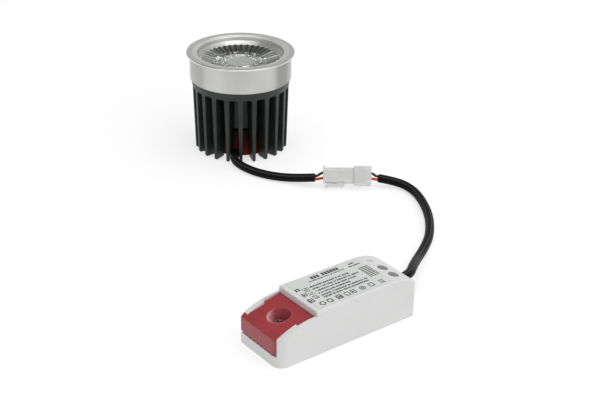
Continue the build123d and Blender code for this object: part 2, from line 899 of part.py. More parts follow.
# Planes of the driver, measured from its mains end
driver_x = driver_end_x - driver_l
driver_plan = Plane((driver_x, driver_y, 0))
driver_side = Plane(origin=(driver_x, driver_y, 0), x_dir=(1, 0, 0), z_dir=(0, -1, 0))
driver_across = Plane(origin=(driver_x, driver_y, 0), x_dir=(0, 1, 0), z_dir=(1, 0, 0))
room_x = block_x + wall
inner_w = driver_w - 2 * wall
inner_end_x = driver_l - wall
pcb_z = base_t + post_h
board_top_z = pcb_z + pcb_t
well_axis = Axis((driver_x + well_x, driver_y, 0), (0, 0, 1))


def on_rim(edge):
    """True for the upper edges round the outside of the raised block."""
    place = edge.center() - Vector(driver_x, driver_y, 0)
    beside = abs(place.Y) > driver_w / 2 - 1 and place.X > block_x + 1
    return place.Z > end_h - nearness and (beside or place.X > driver_l - nearness)


def on_block_front(edge):
    """True for the edge where the block's roof meets its front."""
    place = edge.center() - Vector(driver_x, driver_y, 0)
    return abs(place.X - block_x) < nearness and place.Z > driver_h - nearness


# Solid block of the driver's outside, before it is hollowed
with BuildPart() as driver_form:
    with BuildSketch(driver_plan) as outline:
        with Locations((driver_l / 2, 0)):
            Rectangle(driver_l, driver_w)
        corners = outline.vertices().group_by(Axis.X)[0].sort_by(Axis.Y)
        fillet(corners[0], radius=mains_near_r)
        fillet(corners[-1], radius=mains_far_r)
        fillet(outline.vertices().group_by(Axis.X)[-1], radius=output_corner_r)
    extrude(amount=driver_h)
    with BuildSketch(driver_side):
        with BuildLine():
            Polyline((0, cheek_front_h), (0, 0), (driver_l, 0), (driver_l, end_h))
            ThreePointArc((driver_l, end_h), (slope_mid_x, slope_mid_h), (slope_x, driver_h))
            Polyline((slope_x, driver_h), (block_x, driver_h), (block_x, cheek_back_h))
            ThreePointArc(
                (block_x, cheek_back_h), (cheek_mid_x, cheek_mid_h), (0, cheek_front_h)
            )
        make_face()
    extrude(amount=driver_w, both=True, mode=Mode.INTERSECT)
    fillet(driver_form.edges().filter_by(on_rim), radius=top_round)
    fillet(driver_form.edges().filter_by(on_block_front), radius=block_front_round)


def cover_inner_z(along):
    """Height of the cover's underside at a place along the driver."""
    slope = (cover_back_h - cover_bevel_h) / (cover_end_x - cover_bevel_x)
    return cover_back_h - cover_t + slope * (along - cover_end_x)


cover_end_x = block_x - slip
cover_low_z = front_wall_top + thread_slip
inner_bevel_x = cover_bevel_x + cover_bevel_shift
inner_edge_h = cover_edge_h - cover_edge_drop
above = 2 * driver_h

# Driver housing: white moulding, hollowed from below, with a seat for the cover
with BuildPart() as driver_housing:
    add(driver_form.part)
    with BuildSketch(driver_side):
        with BuildLine():
            Polyline(
                (slope_x - cavity_slope_shift, driver_h - wall),
                (room_x, driver_h - wall),
                (room_x, -1),
                (inner_end_x, -1),
                (inner_end_x, end_h - cavity_end_drop),
            )
            ThreePointArc(
                (inner_end_x, end_h - cavity_end_drop),
                (slope_mid_x - 2 * cavity_slope_shift, slope_mid_h - wall),
                (slope_x - cavity_slope_shift, driver_h - wall),
            )
        make_face()
    extrude(amount=inner_w / 2, both=True, mode=Mode.SUBTRACT)
    with BuildSketch(driver_side):
        with BuildLine():
            Polyline(
                (wall, -1),
                (room_x, -1),
                (room_x, room_roof_z),
                (block_x, room_roof_z),
                (block_x, above),
                (wall, above),
                close=True,
            )
        make_face()
    extrude(amount=terminal_room_w / 2, both=True, mode=Mode.SUBTRACT)
    with BuildSketch(driver_side):
        with BuildLine():
            Polyline(
                (-1, front_wall_top),
                (cover_t, front_wall_top),
                (cover_t, inner_edge_h),
                (inner_bevel_x, cover_inner_z(inner_bevel_x)),
                (cover_step_x, cover_inner_z(cover_step_x)),
                (cover_step_x, above),
                (-1, above),
                close=True,
            )
        make_face()
    extrude(amount=cover_front_w / 2 + running, both=True, mode=Mode.SUBTRACT)
    with BuildSketch(driver_plan.offset(front_wall_top)):
        with Locations(((cover_lap_l + running) / 2, driver_w / 2)):
            Rectangle(cover_lap_l + running, driver_w)
    extrude(amount=above, mode=Mode.SUBTRACT)
    with BuildSketch(driver_side):
        with BuildLine():
            Polyline(
                (cover_step_x - running, cover_inner_z(cover_step_x - running)),
                (block_x, cover_inner_z(block_x)),
                (block_x, above),
                (cover_step_x - running, above),
                close=True,
            )
        make_face()
    extrude(amount=cover_back_w / 2 + running, both=True, mode=Mode.SUBTRACT)
    with BuildSketch(driver_across.offset(inner_end_x)):
        with Locations((0, lead_height)):
            Circle(lead_d / 2 + slip)
    extrude(amount=wall, mode=Mode.SUBTRACT)
    with BuildSketch(driver_plan.offset(plug_low_z)):
        with Locations(*((plug_x, across) for across in plug_ys)):
            Circle(plug_r)
    extrude(amount=driver_h - plug_low_z, mode=Mode.SUBTRACT)
    with BuildSketch(driver_plan.offset(marker_floor_z)):
        with Locations(marker_place):
            Circle(marker_r)
    extrude(amount=driver_h - marker_floor_z, mode=Mode.SUBTRACT)
save(driver_housing, "driver_housing")

# Plugs that close the two round holes in the sloping roof
with BuildPart() as roof_plugs:
    with BuildSketch(driver_plan.offset(plug_low_z)):
        with Locations(*((plug_x, across) for across in plug_ys)):
            Circle(plug_r)
    extrude(amount=driver_h - plug_low_z)
    add(driver_form.part, mode=Mode.INTERSECT)
save(roof_plugs, "roof_plugs")

# Terminal cover: see-through red lid with a toothed lower edge and a screw well
with BuildPart() as terminal_cover:
    with BuildSketch(driver_side) as section:
        with BuildLine():
            Polyline(
                (0, cover_low_z),
                (0, cover_edge_h),
                (cover_bevel_x, cover_bevel_h),
                (cover_end_x, cover_back_h),
                (cover_end_x, cover_back_h - cover_t),
                (inner_bevel_x, cover_inner_z(inner_bevel_x)),
                (cover_t, inner_edge_h),
                (cover_t, cover_low_z),
                close=True,
            )
        make_face()
        fillet(section.vertices().sort_by_distance((0, cover_edge_h))[0], radius=cover_round)
        bevel = section.vertices().sort_by_distance((cover_bevel_x, cover_bevel_h))[0]
        fillet(bevel, radius=cover_round)
    extrude(amount=driver_w / 2, both=True)
    with BuildSketch(driver_plan):
        with Locations((cover_step_x / 2, 0)):
            Rectangle(cover_step_x, cover_front_w)
        with Locations(((cover_step_x + cover_end_x) / 2, 0)):
            Rectangle(cover_end_x - cover_step_x, cover_back_w)
        with Locations((cover_lap_l / 2, driver_w / 4)):
            Rectangle(cover_lap_l, driver_w / 2)
    extrude(amount=above, mode=Mode.INTERSECT)
    with BuildSketch(driver_plan) as outline:
        with Locations((driver_l / 2, 0)):
            Rectangle(driver_l, driver_w)
        corners = outline.vertices().group_by(Axis.X)[0].sort_by(Axis.Y)
        fillet(corners[0], radius=mains_near_r)
        fillet(corners[-1], radius=mains_far_r)
    extrude(amount=above, mode=Mode.INTERSECT)
    with BuildSketch(driver_side):
        with BuildLine():
            Polyline(
                (well_x, well_floor_z - well_floor_t),
                (well_x + well_floor_r + well_wall, well_floor_z - well_floor_t),
                (well_x + well_rim_r + well_wall, well_rim_z),
                (well_x, well_rim_z),
                close=True,
            )
        make_face()
    revolve(axis=well_axis)
    with BuildSketch(driver_side):
        with BuildLine():
            Polyline(
                (cover_bevel_x, cover_bevel_h),
                (cover_end_x, cover_back_h),
                (cover_end_x, above),
                (cover_bevel_x, above),
                close=True,
            )
        make_face()
    extrude(amount=cover_back_w / 2, both=True, mode=Mode.SUBTRACT)
    with BuildSketch(driver_side):
        with BuildLine():
            Polyline(
                (well_x, well_floor_z),
                (well_x + well_floor_r, well_floor_z),
                (well_x + well_rim_r, well_rim_z),
                (well_x, well_rim_z),
                close=True,
            )
        make_face()
    revolve(axis=well_axis, mode=Mode.SUBTRACT)
    with BuildSketch(driver_plan.offset(well_floor_z)):
        with Locations((well_x, 0)):
            Circle(cover_screw_r + running)
    extrude(amount=-well_floor_t, mode=Mode.SUBTRACT)
    teeth = [(-cover_back_w, cover_low_z - 1), (-cover_back_w, cover_low_z + tooth_h)]
    for index in range(tooth_count):
        middle = (index - (tooth_count - 1) / 2) * tooth_pitch
        teeth.append((middle - tooth_pitch / 2, cover_low_z + tooth_h))
        teeth.append((middle, cover_low_z))
    teeth.append((tooth_count / 2 * tooth_pitch, cover_low_z + tooth_h))
    teeth.append((cover_back_w, cover_low_z + tooth_h))
    teeth.append((cover_back_w, cover_low_z - 1))
    with BuildSketch(driver_across.offset(-1)):
        with BuildLine():
            Polyline(*teeth, close=True)
        make_face()
    extrude(amount=1 + cover_t + slip, mode=Mode.SUBTRACT)
save(terminal_cover, "terminal_cover")

# Screw that holds the cover down on the base's boss
with BuildPart() as cover_screw:
    with BuildSketch(driver_plan.offset(well_floor_z)):
        with Locations((well_x, 0)):
            Circle(cover_head_r)
    extrude(amount=cover_head_h)
    fillet(cover_screw.edges().group_by(Axis.Z)[-1], radius=cover_head_edge)
    with BuildSketch(driver_plan.offset(well_floor_z)):
        with Locations((well_x, 0)):
            Circle(cover_screw_r)
    extrude(amount=-cover_screw_l)
    with BuildSketch(driver_plan.offset(well_floor_z + cover_head_h)):
        with Locations((well_x, 0)):
            Rectangle(cover_recess_l, cover_recess_w)
            Rectangle(cover_recess_w, cover_recess_l)
    extrude(amount=-cover_recess_h, mode=Mode.SUBTRACT)
save(cover_screw, "cover_screw")

# Driver base: floor plate with posts for the board, a screw boss and a lead cradle
cradle_place = (cradle_x + cradle_l / 2, 0)
plain_post_x = film_x - plain_post_back
plain_posts = [(plain_post_x, plain_post_y), (plain_post_x, -plain_post_y)]
peg_x = transformer_x - peg_back
peg_posts = [
    (along, across)
    for along in (peg_x, peg_x + peg_spacing)
    for across in (peg_y, -peg_y)
]
with BuildPart() as driver_base:
    with BuildSketch(driver_plan):
        with Locations(((wall + room_x) / 2, 0)):
            Rectangle(room_x - wall, terminal_room_w)
        with Locations(((room_x + inner_end_x) / 2, 0)):
            Rectangle(inner_end_x - room_x, inner_w)
    extrude(amount=base_t)
    with BuildSketch(driver_plan.offset(base_t)):
        with Locations(*plain_posts, *peg_posts):
            Circle(post_r)
    extrude(amount=post_h)
    with BuildSketch(driver_plan.offset(pcb_z)):
        with Locations(*peg_posts):
            Circle(peg_r)
    extrude(amount=peg_h)
    with BuildSketch(driver_plan.offset(base_t)):
        with Locations((well_x, 0)):
            Circle(boss_r)
    extrude(amount=well_floor_z - well_floor_t - base_t)
    with BuildSketch(driver_plan.offset(well_floor_z - well_floor_t)):
        with Locations((well_x, 0)):
            Circle(cover_screw_r + thread_slip)
    extrude(amount=-cover_screw_l, mode=Mode.SUBTRACT)
    with BuildSketch(driver_plan.offset(base_t)):
        with Locations(cradle_place):
            Rectangle(cradle_l, cradle_w)
    extrude(amount=lead_height - base_t)
    with BuildSketch(driver_across.offset(cradle_x)):
        with Locations((0, lead_height)):
            Circle(lead_d / 2)
    extrude(amount=cradle_l, mode=Mode.SUBTRACT)
    with BuildSketch(driver_plan.offset(lead_height)):
        with Locations((cradle_place[0], clamp_screw_y), (cradle_place[0], -clamp_screw_y)):
            Circle(small_screw_r + thread_slip)
    extrude(amount=-clamp_screw_l, mode=Mode.SUBTRACT)
save(driver_base, "driver_base")

# Bar that clamps the driver lead on its cradle
clamp_low_z = lead_height + clamp_gap
clamp_top_z = clamp_low_z + clamp_h
with BuildPart() as lead_clamp:
    with BuildSketch(driver_plan.offset(clamp_low_z)):
        with Locations(cradle_place):
            Rectangle(cradle_l, cradle_w)
    extrude(amount=clamp_h)
    with BuildSketch(driver_across.offset(cradle_x)):
        with Locations((0, lead_height)):
            Circle(lead_d / 2)
    extrude(amount=cradle_l, mode=Mode.SUBTRACT)
    with BuildSketch(driver_plan.offset(clamp_low_z)):
        with Locations((cradle_place[0], clamp_screw_y), (cradle_place[0], -clamp_screw_y)):
            Circle(small_screw_r + running)
    extrude(amount=clamp_h, mode=Mode.SUBTRACT)
save(lead_clamp, "lead_clamp")

# Screws of the clamp bar
with BuildPart() as clamp_screws:
    with BuildSketch(driver_plan.offset(clamp_top_z)):
        with Locations((cradle_place[0], clamp_screw_y), (cradle_place[0], -clamp_screw_y)):
            Circle(clamp_head_r)
    extrude(amount=small_head_h)
    with BuildSketch(driver_plan.offset(clamp_top_z)):
        with Locations((cradle_place[0], clamp_screw_y), (cradle_place[0], -clamp_screw_y)):
            Circle(small_screw_r)
    extrude(amount=lead_height - clamp_screw_l + clamp_screw_spare - clamp_top_z)
    with BuildSketch(driver_plan.offset(clamp_top_z + small_head_h)):
        with Locations((cradle_place[0], clamp_screw_y), (cradle_place[0], -clamp_screw_y)):
            Rectangle(small_recess_l, slot_w)
    extrude(amount=-slot_depth, mode=Mode.SUBTRACT)
save(clamp_screws, "clamp_screws")

# Label on the flat of the roof
with BuildPart() as rating_label:
    with BuildSketch(driver_plan.offset(driver_h)) as section:
        with Locations(((label_start_x + slope_x) / 2, 0)):
            Rectangle(slope_x - label_start_x, label_w)
        fillet(section.vertices(), radius=label_corner_r)
    extrude(amount=label_t)
save(rating_label, "rating_label")

# Circuit board, with a tongue that carries the mains terminals
with BuildPart() as circuit_board:
    with BuildSketch(driver_plan.offset(pcb_z)):
        with Locations(((room_x + pcb_margin + pcb_end_x) / 2, 0)):
            Rectangle(pcb_end_x - room_x - pcb_margin, inner_w - 2 * pcb_margin)
        with Locations(((pcb_tongue_x + room_x + pcb_margin) / 2, 0)):
            Rectangle(room_x + pcb_margin - pcb_tongue_x, terminal_room_w - 2 * pcb_margin)
        with Locations(*peg_posts):
            Circle(peg_r + thread_slip, mode=Mode.SUBTRACT)
    extrude(amount=pcb_t)
save(circuit_board, "circuit_board")

# Mains terminal block with two wire entries and two screw wells
terminal_top_z = board_top_z + terminal_size[2]
terminal_front_x = terminal_place[0] - terminal_size[0] / 2
terminal_ys = (terminal_pitch / 2, -terminal_pitch / 2)
with BuildPart() as mains_terminal_block:
    with BuildSketch(driver_plan.offset(board_top_z)):
        with Locations(terminal_place):
            Rectangle(terminal_size[0], terminal_size[1])
    extrude(amount=terminal_size[2])
    with BuildSketch(driver_across.offset(terminal_front_x)):
        with Locations(*((across, board_top_z + terminal_entry_h) for across in terminal_ys)):
            Circle(terminal_entry_r)
    extrude(amount=terminal_size[0] - terminal_back_t, mode=Mode.SUBTRACT)
    with BuildSketch(driver_plan.offset(terminal_top_z)):
        with Locations(*((terminal_place[0], across) for across in terminal_ys)):
            Circle(terminal_screw_r + thread_slip)
    extrude(amount=-terminal_well_h, mode=Mode.SUBTRACT)
save(mains_terminal_block, "mains_terminal_block")

# Screws of the mains terminals
terminal_screw_z = terminal_top_z - terminal_well_h + terminal_screw_h
with BuildPart() as terminal_screws:
    with BuildSketch(driver_plan.offset(terminal_screw_z)):
        with Locations(*((terminal_place[0], across) for across in terminal_ys)):
            Circle(terminal_screw_r)
    extrude(amount=-terminal_screw_h)
    with BuildSketch(driver_plan.offset(terminal_screw_z)):
        with Locations(*((terminal_place[0], across) for across in terminal_ys)):
            Rectangle(terminal_slot_l, slot_w)
    extrude(amount=-slot_depth, mode=Mode.SUBTRACT)
save(terminal_screws, "terminal_screws")

# Film capacitor across the mains
with BuildPart() as film_capacitor:
    with BuildSketch(driver_plan.offset(board_top_z)):
        with Locations(film_place):
            Rectangle(film_size[0], film_size[1])
    extrude(amount=film_size[2])
    fillet(film_capacitor.edges().filter_by(Axis.Z), radius=film_edge)
save(film_capacitor, "film_capacitor")

# Bridge rectifier with its four legs
with BuildPart() as bridge_rectifier:
    with BuildSketch(driver_plan.offset(board_top_z)):
        with Locations(bridge_place):
            Rectangle(bridge_size[0], bridge_size[1])
    extrude(amount=bridge_size[2])
    with BuildSketch(driver_plan.offset(board_top_z)):
        with Locations(bridge_place):
            with GridLocations(bridge_leg_pitch, bridge_size[1], 2, 2):
                Rectangle(leg_w, leg_reach / 2)
    extrude(amount=leg_t)
save(bridge_rectifier, "bridge_rectifier")

# Core of the line inductor
with BuildPart() as line_inductor_core:
    with BuildSketch(driver_plan.offset(board_top_z)):
        with Locations(spool_place):
            Circle(spool_r)
    extrude(amount=spool_h)
    with BuildSketch(driver_plan.offset(board_top_z + spool_flange_t)):
        with Locations(spool_place):
            Circle(spool_r)
            Circle(spool_core_r, mode=Mode.SUBTRACT)
    extrude(amount=spool_h - 2 * spool_flange_t, mode=Mode.SUBTRACT)
save(line_inductor_core, "line_inductor_core")

# Copper winding of the line inductor
with BuildPart() as inductor_winding:
    with BuildSketch(driver_plan.offset(board_top_z + spool_flange_t)):
        with Locations(spool_place):
            Circle(spool_winding_r)
            Circle(spool_core_r, mode=Mode.SUBTRACT)
    extrude(amount=spool_h - 2 * spool_flange_t)
save(inductor_winding, "inductor_winding")

# Electrolytic capacitor on the mains side
with BuildPart() as input_capacitor:
    with BuildSketch(driver_plan.offset(board_top_z)):
        with Locations(input_capacitor_place):
            Circle(input_capacitor_r)
    extrude(amount=input_capacitor_h)
    fillet(input_capacitor.edges().group_by(Axis.Z)[-1], radius=can_edge)
save(input_capacitor, "input_capacitor")

# Ferrite core of the transformer, with a window on each side of its middle leg
core_low_z = board_top_z + core_lift
core_window_w = core_window_end - core_leg_w / 2
core_window_h = core_size[2] - 2 * core_yoke_t
with BuildPart() as transformer_core:
    with BuildSketch(driver_plan.offset(core_low_z)):
        with Locations((transformer_x, 0)):
            Rectangle(core_size[0], core_size[1])
    extrude(amount=core_size[2])
    with BuildSketch(driver_across.offset(transformer_x - core_size[0] / 2)):
        window_y = core_leg_w / 2 + core_window_w / 2
        with Locations(
            (window_y, core_low_z + core_size[2] / 2),
            (-window_y, core_low_z + core_size[2] / 2),
        ):
            Rectangle(core_window_w, core_window_h)
    extrude(amount=core_size[0], mode=Mode.SUBTRACT)
save(transformer_core, "transformer_core")

# Bobbin of the transformer, standing on two pin rails
bobbin_low_z = core_low_z + core_yoke_t
rail_x = (bobbin_size[0] - bobbin_rail_w) / 2 + bobbin_rail_shift
with BuildPart() as transformer_bobbin:
    with BuildSketch(driver_plan.offset(bobbin_low_z)):
        with Locations((transformer_x, 0)):
            Rectangle(core_size[0] + 2 * bobbin_wall, core_leg_w + 2 * bobbin_wall)
    extrude(amount=core_window_h)
    for flange_z in (bobbin_low_z, bobbin_low_z + core_window_h - bobbin_flange_t):
        with BuildSketch(driver_plan.offset(flange_z)):
            with Locations((transformer_x, 0)):
                Rectangle(bobbin_size[0], bobbin_size[1])
        extrude(amount=bobbin_flange_t)
    with BuildSketch(driver_plan.offset(board_top_z)):
        with Locations((transformer_x + rail_x, 0), (transformer_x - rail_x, 0)):
            Rectangle(bobbin_rail_w, bobbin_size[1])
    extrude(amount=bobbin_low_z + bobbin_flange_t - board_top_z)
    with BuildSketch(driver_plan.offset(bobbin_low_z)):
        with Locations((transformer_x, 0)):
            Rectangle(core_size[0], core_leg_w)
    extrude(amount=core_window_h, mode=Mode.SUBTRACT)
save(transformer_bobbin, "transformer_bobbin")

# Winding of the transformer
with BuildPart() as transformer_winding:
    with BuildSketch(driver_plan.offset(bobbin_low_z + bobbin_flange_t)) as section:
        with Locations((transformer_x, 0)):
            Rectangle(winding_size[0], winding_size[1])
        fillet(section.vertices(), radius=winding_corner_r)
        with Locations((transformer_x, 0)):
            Rectangle(
                core_size[0] + 2 * bobbin_wall,
                core_leg_w + 2 * bobbin_wall,
                mode=Mode.SUBTRACT,
            )
    extrude(amount=core_window_h - 2 * bobbin_flange_t)
save(transformer_winding, "transformer_winding")

# Electrolytic capacitor on the output side
with BuildPart() as output_capacitor:
    with BuildSketch(driver_plan.offset(board_top_z)):
        with Locations(output_capacitor_place):
            Circle(output_capacitor_r)
    extrude(amount=output_capacitor_h)
    fillet(output_capacitor.edges().group_by(Axis.Z)[-1], radius=can_edge)
save(output_capacitor, "output_capacitor")

# Control chip with four legs on each side
with BuildPart() as control_chip:
    with BuildSketch(driver_plan.offset(board_top_z)):
        with Locations(chip_place):
            Rectangle(chip_size[0], chip_size[1])
    extrude(amount=chip_size[2])
    with BuildSketch(driver_plan.offset(board_top_z)):
        with Locations(chip_place):
            with GridLocations(chip_leg_pitch, chip_size[1] + leg_reach, 4, 2):
                Rectangle(leg_w, leg_reach)
    extrude(amount=leg_t)
save(control_chip, "control_chip")

# Output diode with a leg at each end
with BuildPart() as output_diode:
    with BuildSketch(driver_plan.offset(board_top_z)):
        with Locations(diode_place):
            Rectangle(diode_size[0], diode_size[1])
    extrude(amount=diode_size[2])
    with BuildSketch(driver_plan.offset(board_top_z)):
        with Locations(diode_place):
            Rectangle(diode_size[0] + leg_reach, diode_leg_w)
    extrude(amount=leg_t)
save(output_diode, "output_diode")


def tail_route(side):
    """Route of a core from the driver lead's inner end down to the board."""
    start_x = driver_l - lead_grip
    near = side * core_offset
    far = side * tail_y
    return [
        driver_plan.from_local_coords(Vector(start_x, near, lead_height)),
        driver_plan.from_local_coords(Vector(start_x - tail_start, near, lead_height)),
        driver_plan.from_local_coords(Vector(tail_x, far, lead_height - tail_drop)),
        driver_plan.from_local_coords(Vector(tail_x, far, board_top_z)),
    ]


# Cores that run from the driver lead down to the board
red_output_wire = tube("red output wire", tail_route(1), wire_d)
save(red_output_wire, "red_output_wire")
black_output_wire = tube("black output wire", tail_route(-1), wire_d)
save(black_output_wire, "black_output_wire")
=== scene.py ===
"""Looks of the LED spot module and its driver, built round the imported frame."""

import math

import bmesh
import bpy
from mathutils import Matrix, Vector


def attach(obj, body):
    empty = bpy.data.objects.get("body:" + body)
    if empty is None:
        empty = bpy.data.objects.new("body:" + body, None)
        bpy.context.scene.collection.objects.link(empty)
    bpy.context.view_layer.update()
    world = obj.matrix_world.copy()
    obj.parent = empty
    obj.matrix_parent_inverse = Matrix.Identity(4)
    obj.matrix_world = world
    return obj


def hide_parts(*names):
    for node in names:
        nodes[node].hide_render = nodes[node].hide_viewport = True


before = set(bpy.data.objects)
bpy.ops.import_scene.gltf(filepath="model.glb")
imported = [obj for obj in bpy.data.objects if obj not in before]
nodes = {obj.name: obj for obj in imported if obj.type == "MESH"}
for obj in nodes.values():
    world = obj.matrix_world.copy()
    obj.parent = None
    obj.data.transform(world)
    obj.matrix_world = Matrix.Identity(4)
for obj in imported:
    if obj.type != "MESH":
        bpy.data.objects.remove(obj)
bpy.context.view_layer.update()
scene = bpy.context.scene
MM = 0.001

# Foot of the module's axis, foot of the driver's mains end, and the screw well's axis
MODULE = Vector((0.0366, 0.0696, 0.0))
DRIVER = Vector((-0.0616, -0.08315, 0.0))
WELL = DRIVER + Vector((8.6, 0, 0)) * MM


# Camera at the photograph's place, measured from the module's foot

CAMERA_TURN = math.radians(37.440204)
CAMERA_PITCH = 0.468364948
CAMERA_ROLL = 0.0138791583
CAMERA_PLACE = Vector((28.3240459, -564.633535, 255.994631)) * MM
CAMERA_SIDE = -124.6  # azimuth of the camera seen from the module, in degrees
SENSOR_WIDTH = 36.0
FOCAL_LENGTH = 78.0


def add_camera():
    right = Vector((1, 0, 0))
    ahead = Vector((0, math.cos(CAMERA_PITCH), -math.sin(CAMERA_PITCH)))
    up = Vector((0, math.sin(CAMERA_PITCH), math.cos(CAMERA_PITCH)))
    side = math.cos(CAMERA_ROLL) * right + math.sin(CAMERA_ROLL) * up
    top = -math.sin(CAMERA_ROLL) * right + math.cos(CAMERA_ROLL) * up
    spin = Matrix.Rotation(-CAMERA_TURN, 3, "Z")
    side, top, ahead, place = (spin @ v for v in (side, top, ahead, CAMERA_PLACE))
    data = bpy.data.cameras.new("camera")
    data.sensor_fit = "HORIZONTAL"
    data.sensor_width = SENSOR_WIDTH
    data.lens = FOCAL_LENGTH
    data.clip_start = 0.01
    data.clip_end = 20.0
    camera = bpy.data.objects.new("camera", data)
    scene.collection.objects.link(camera)
    matrix = Matrix((side, top, -ahead)).transposed().to_4x4()
    matrix.translation = place + MODULE
    camera.matrix_world = matrix
    scene.camera = camera


add_camera()


# Material helpers

def new_material(name):
    material = bpy.data.materials.new(name)
    material.use_nodes = True
    tree = material.node_tree
    tree.nodes.clear()
    output = tree.nodes.new("ShaderNodeOutputMaterial")
    shader = tree.nodes.new("ShaderNodeBsdfPrincipled")
    tree.links.new(shader.outputs["BSDF"], output.inputs["Surface"])
    return material, tree, shader


def settle(shader, values):
    """Gives inputs of the shader plain values."""
    for name, value in values.items():
        shader.inputs[name].default_value = value


def feed(tree, slot, value):
    """Gives an input a number or a plain colour, or links a socket to it."""
    if isinstance(value, (int, float)):
        slot.default_value = value
    elif isinstance(value, tuple):
        slot.default_value = (*value, 1)
    else:
        tree.links.new(value, slot)


def object_place(tree, stretch=(1, 1, 1)):
    coords = tree.nodes.new("ShaderNodeTexCoord")
    mapping = tree.nodes.new("ShaderNodeMapping")
    mapping.inputs["Scale"].default_value = stretch
    tree.links.new(coords.outputs["Object"], mapping.inputs["Vector"])
    return mapping.outputs["Vector"]


def noise(tree, vector, scale, detail=2.0, rough=0.55):
    node = tree.nodes.new("ShaderNodeTexNoise")
    node.inputs["Scale"].default_value = scale
    node.inputs["Detail"].default_value = detail
    node.inputs["Roughness"].default_value = rough
    tree.links.new(vector, node.inputs["Vector"])
    return node.outputs["Fac"]


def cell_value(tree, column, row):
    """A random value from 0 to 1 for each cell of a grid of whole numbers."""
    spot = tree.nodes.new("ShaderNodeCombineXYZ")
    tree.links.new(column, spot.inputs["X"])
    tree.links.new(row, spot.inputs["Y"])
    cell = tree.nodes.new("ShaderNodeTexWhiteNoise")
    cell.noise_dimensions = "2D"
    tree.links.new(spot.outputs["Vector"], cell.inputs["Vector"])
    return cell.outputs["Value"]


def ramp(tree, value, stops):
    node = tree.nodes.new("ShaderNodeValToRGB")
    elements = node.color_ramp.elements
    elements.remove(elements[-1])
    for index, (at, color) in enumerate(stops):
        element = elements[0] if index == 0 else elements.new(at)
        element.position = at
        element.color = (*color, 1)
    tree.links.new(value, node.inputs["Fac"])
    return node.outputs["Color"]


def grey_ramp(tree, value, stops):
    """Ramp in greys, from pairs of place and brightness."""
    return ramp(tree, value, [(at, (level,) * 3) for at, level in stops])


def strayed(color, share):
    """The colour, darker and lighter by a share of itself."""
    dark = tuple(c * (1 - share) for c in color)
    light = tuple(min(1.0, c * (1 + share)) for c in color)
    return [(0.3, dark), (0.7, light)]


def scaled(tree, value, low, high):
    node = tree.nodes.new("ShaderNodeMapRange")
    node.inputs["To Min"].default_value = low
    node.inputs["To Max"].default_value = high
    tree.links.new(value, node.inputs["Value"])
    return node.outputs["Result"]


def calc(tree, operation, first, second=0.0):
    """Sum, product or other step on two values, each a socket or a number."""
    node = tree.nodes.new("ShaderNodeMath")
    node.operation = operation
    feed(tree, node.inputs[0], first)
    feed(tree, node.inputs[1], second)
    return node.outputs["Value"]


def blend(tree, first, second, factor=1.0, kind="MULTIPLY"):
    """Mix of two colours, each a socket or a plain colour."""
    node = tree.nodes.new("ShaderNodeMix")
    node.data_type = "RGBA"
    node.blend_type = kind
    feed(tree, node.inputs["Factor"], factor)
    feed(tree, node.inputs["A"], first)
    feed(tree, node.inputs["B"], second)
    return node.outputs["Result"]


def about_axis(tree, centre, facing):
    """Place, radius, turn and height about an upright axis.

    The turn goes from 0 to 1 and is 0.5 on the side that faces the given azimuth.
    """
    coords = tree.nodes.new("ShaderNodeTexCoord")
    shift = tree.nodes.new("ShaderNodeMapping")
    shift.inputs["Location"].default_value = (-centre.x, -centre.y, 0)
    tree.links.new(coords.outputs["Object"], shift.inputs["Vector"])
    spin = tree.nodes.new("ShaderNodeMapping")
    spin.inputs["Rotation"].default_value = (0, 0, math.radians(-facing))
    tree.links.new(shift.outputs["Vector"], spin.inputs["Vector"])
    split = tree.nodes.new("ShaderNodeSeparateXYZ")
    tree.links.new(spin.outputs["Vector"], split.inputs["Vector"])
    x, y, height = split.outputs
    square = calc(tree, "ADD", calc(tree, "MULTIPLY", x, x), calc(tree, "MULTIPLY", y, y))
    turn = tree.nodes.new("ShaderNodeTexGradient")
    turn.gradient_type = "RADIAL"
    tree.links.new(spin.outputs["Vector"], turn.inputs["Vector"])
    return shift.outputs["Vector"], calc(tree, "SQRT", square), turn.outputs["Fac"], height


def bump(tree, shader, height, strength, distance):
    node = tree.nodes.new("ShaderNodeBump")
    node.inputs["Strength"].default_value = strength
    node.inputs["Distance"].default_value = distance
    tree.links.new(height, node.inputs["Height"])
    tree.links.new(node.outputs["Normal"], shader.inputs["Normal"])


def surface(
    name, color, rough, spread, rough_spread, grain, blotch, depth, strength,
    metallic=0.0, specular=0.5, subsurface=0.0, transmission=0.0, stretch=(1, 1, 1), painted_light=None,
):
    """A moulded, cast or painted surface: broad mottling, fine grain and a rough map."""
    material, tree, shader = new_material(name)
    vector = object_place(tree, stretch)
    broad = noise(tree, vector, blotch)
    fine = noise(tree, vector, grain, 3.0, 0.6)
    tint = ramp(tree, broad, strayed(color, spread))
    grains = grey_ramp(tree, fine, [(0.25, 1 - spread * 2), (0.6, 1)])
    result = blend(tree, tint, grains, 0.5)
    # Painted light and shade over the finish, where the finish has some
    if painted_light:
        result = painted_light(tree, result)
    tree.links.new(result, shader.inputs["Base Color"])
    rough_map = scaled(tree, broad, rough - rough_spread, rough + rough_spread)
    tree.links.new(rough_map, shader.inputs["Roughness"])
    bump(tree, shader, fine, strength, depth)
    settle(shader, {
        "Metallic": metallic,
        "Specular IOR Level": specular,
        "Subsurface Weight": subsurface,
        "Subsurface Radius": (0.003, 0.003, 0.003),
        "Transmission Weight": transmission,
    })
    return material
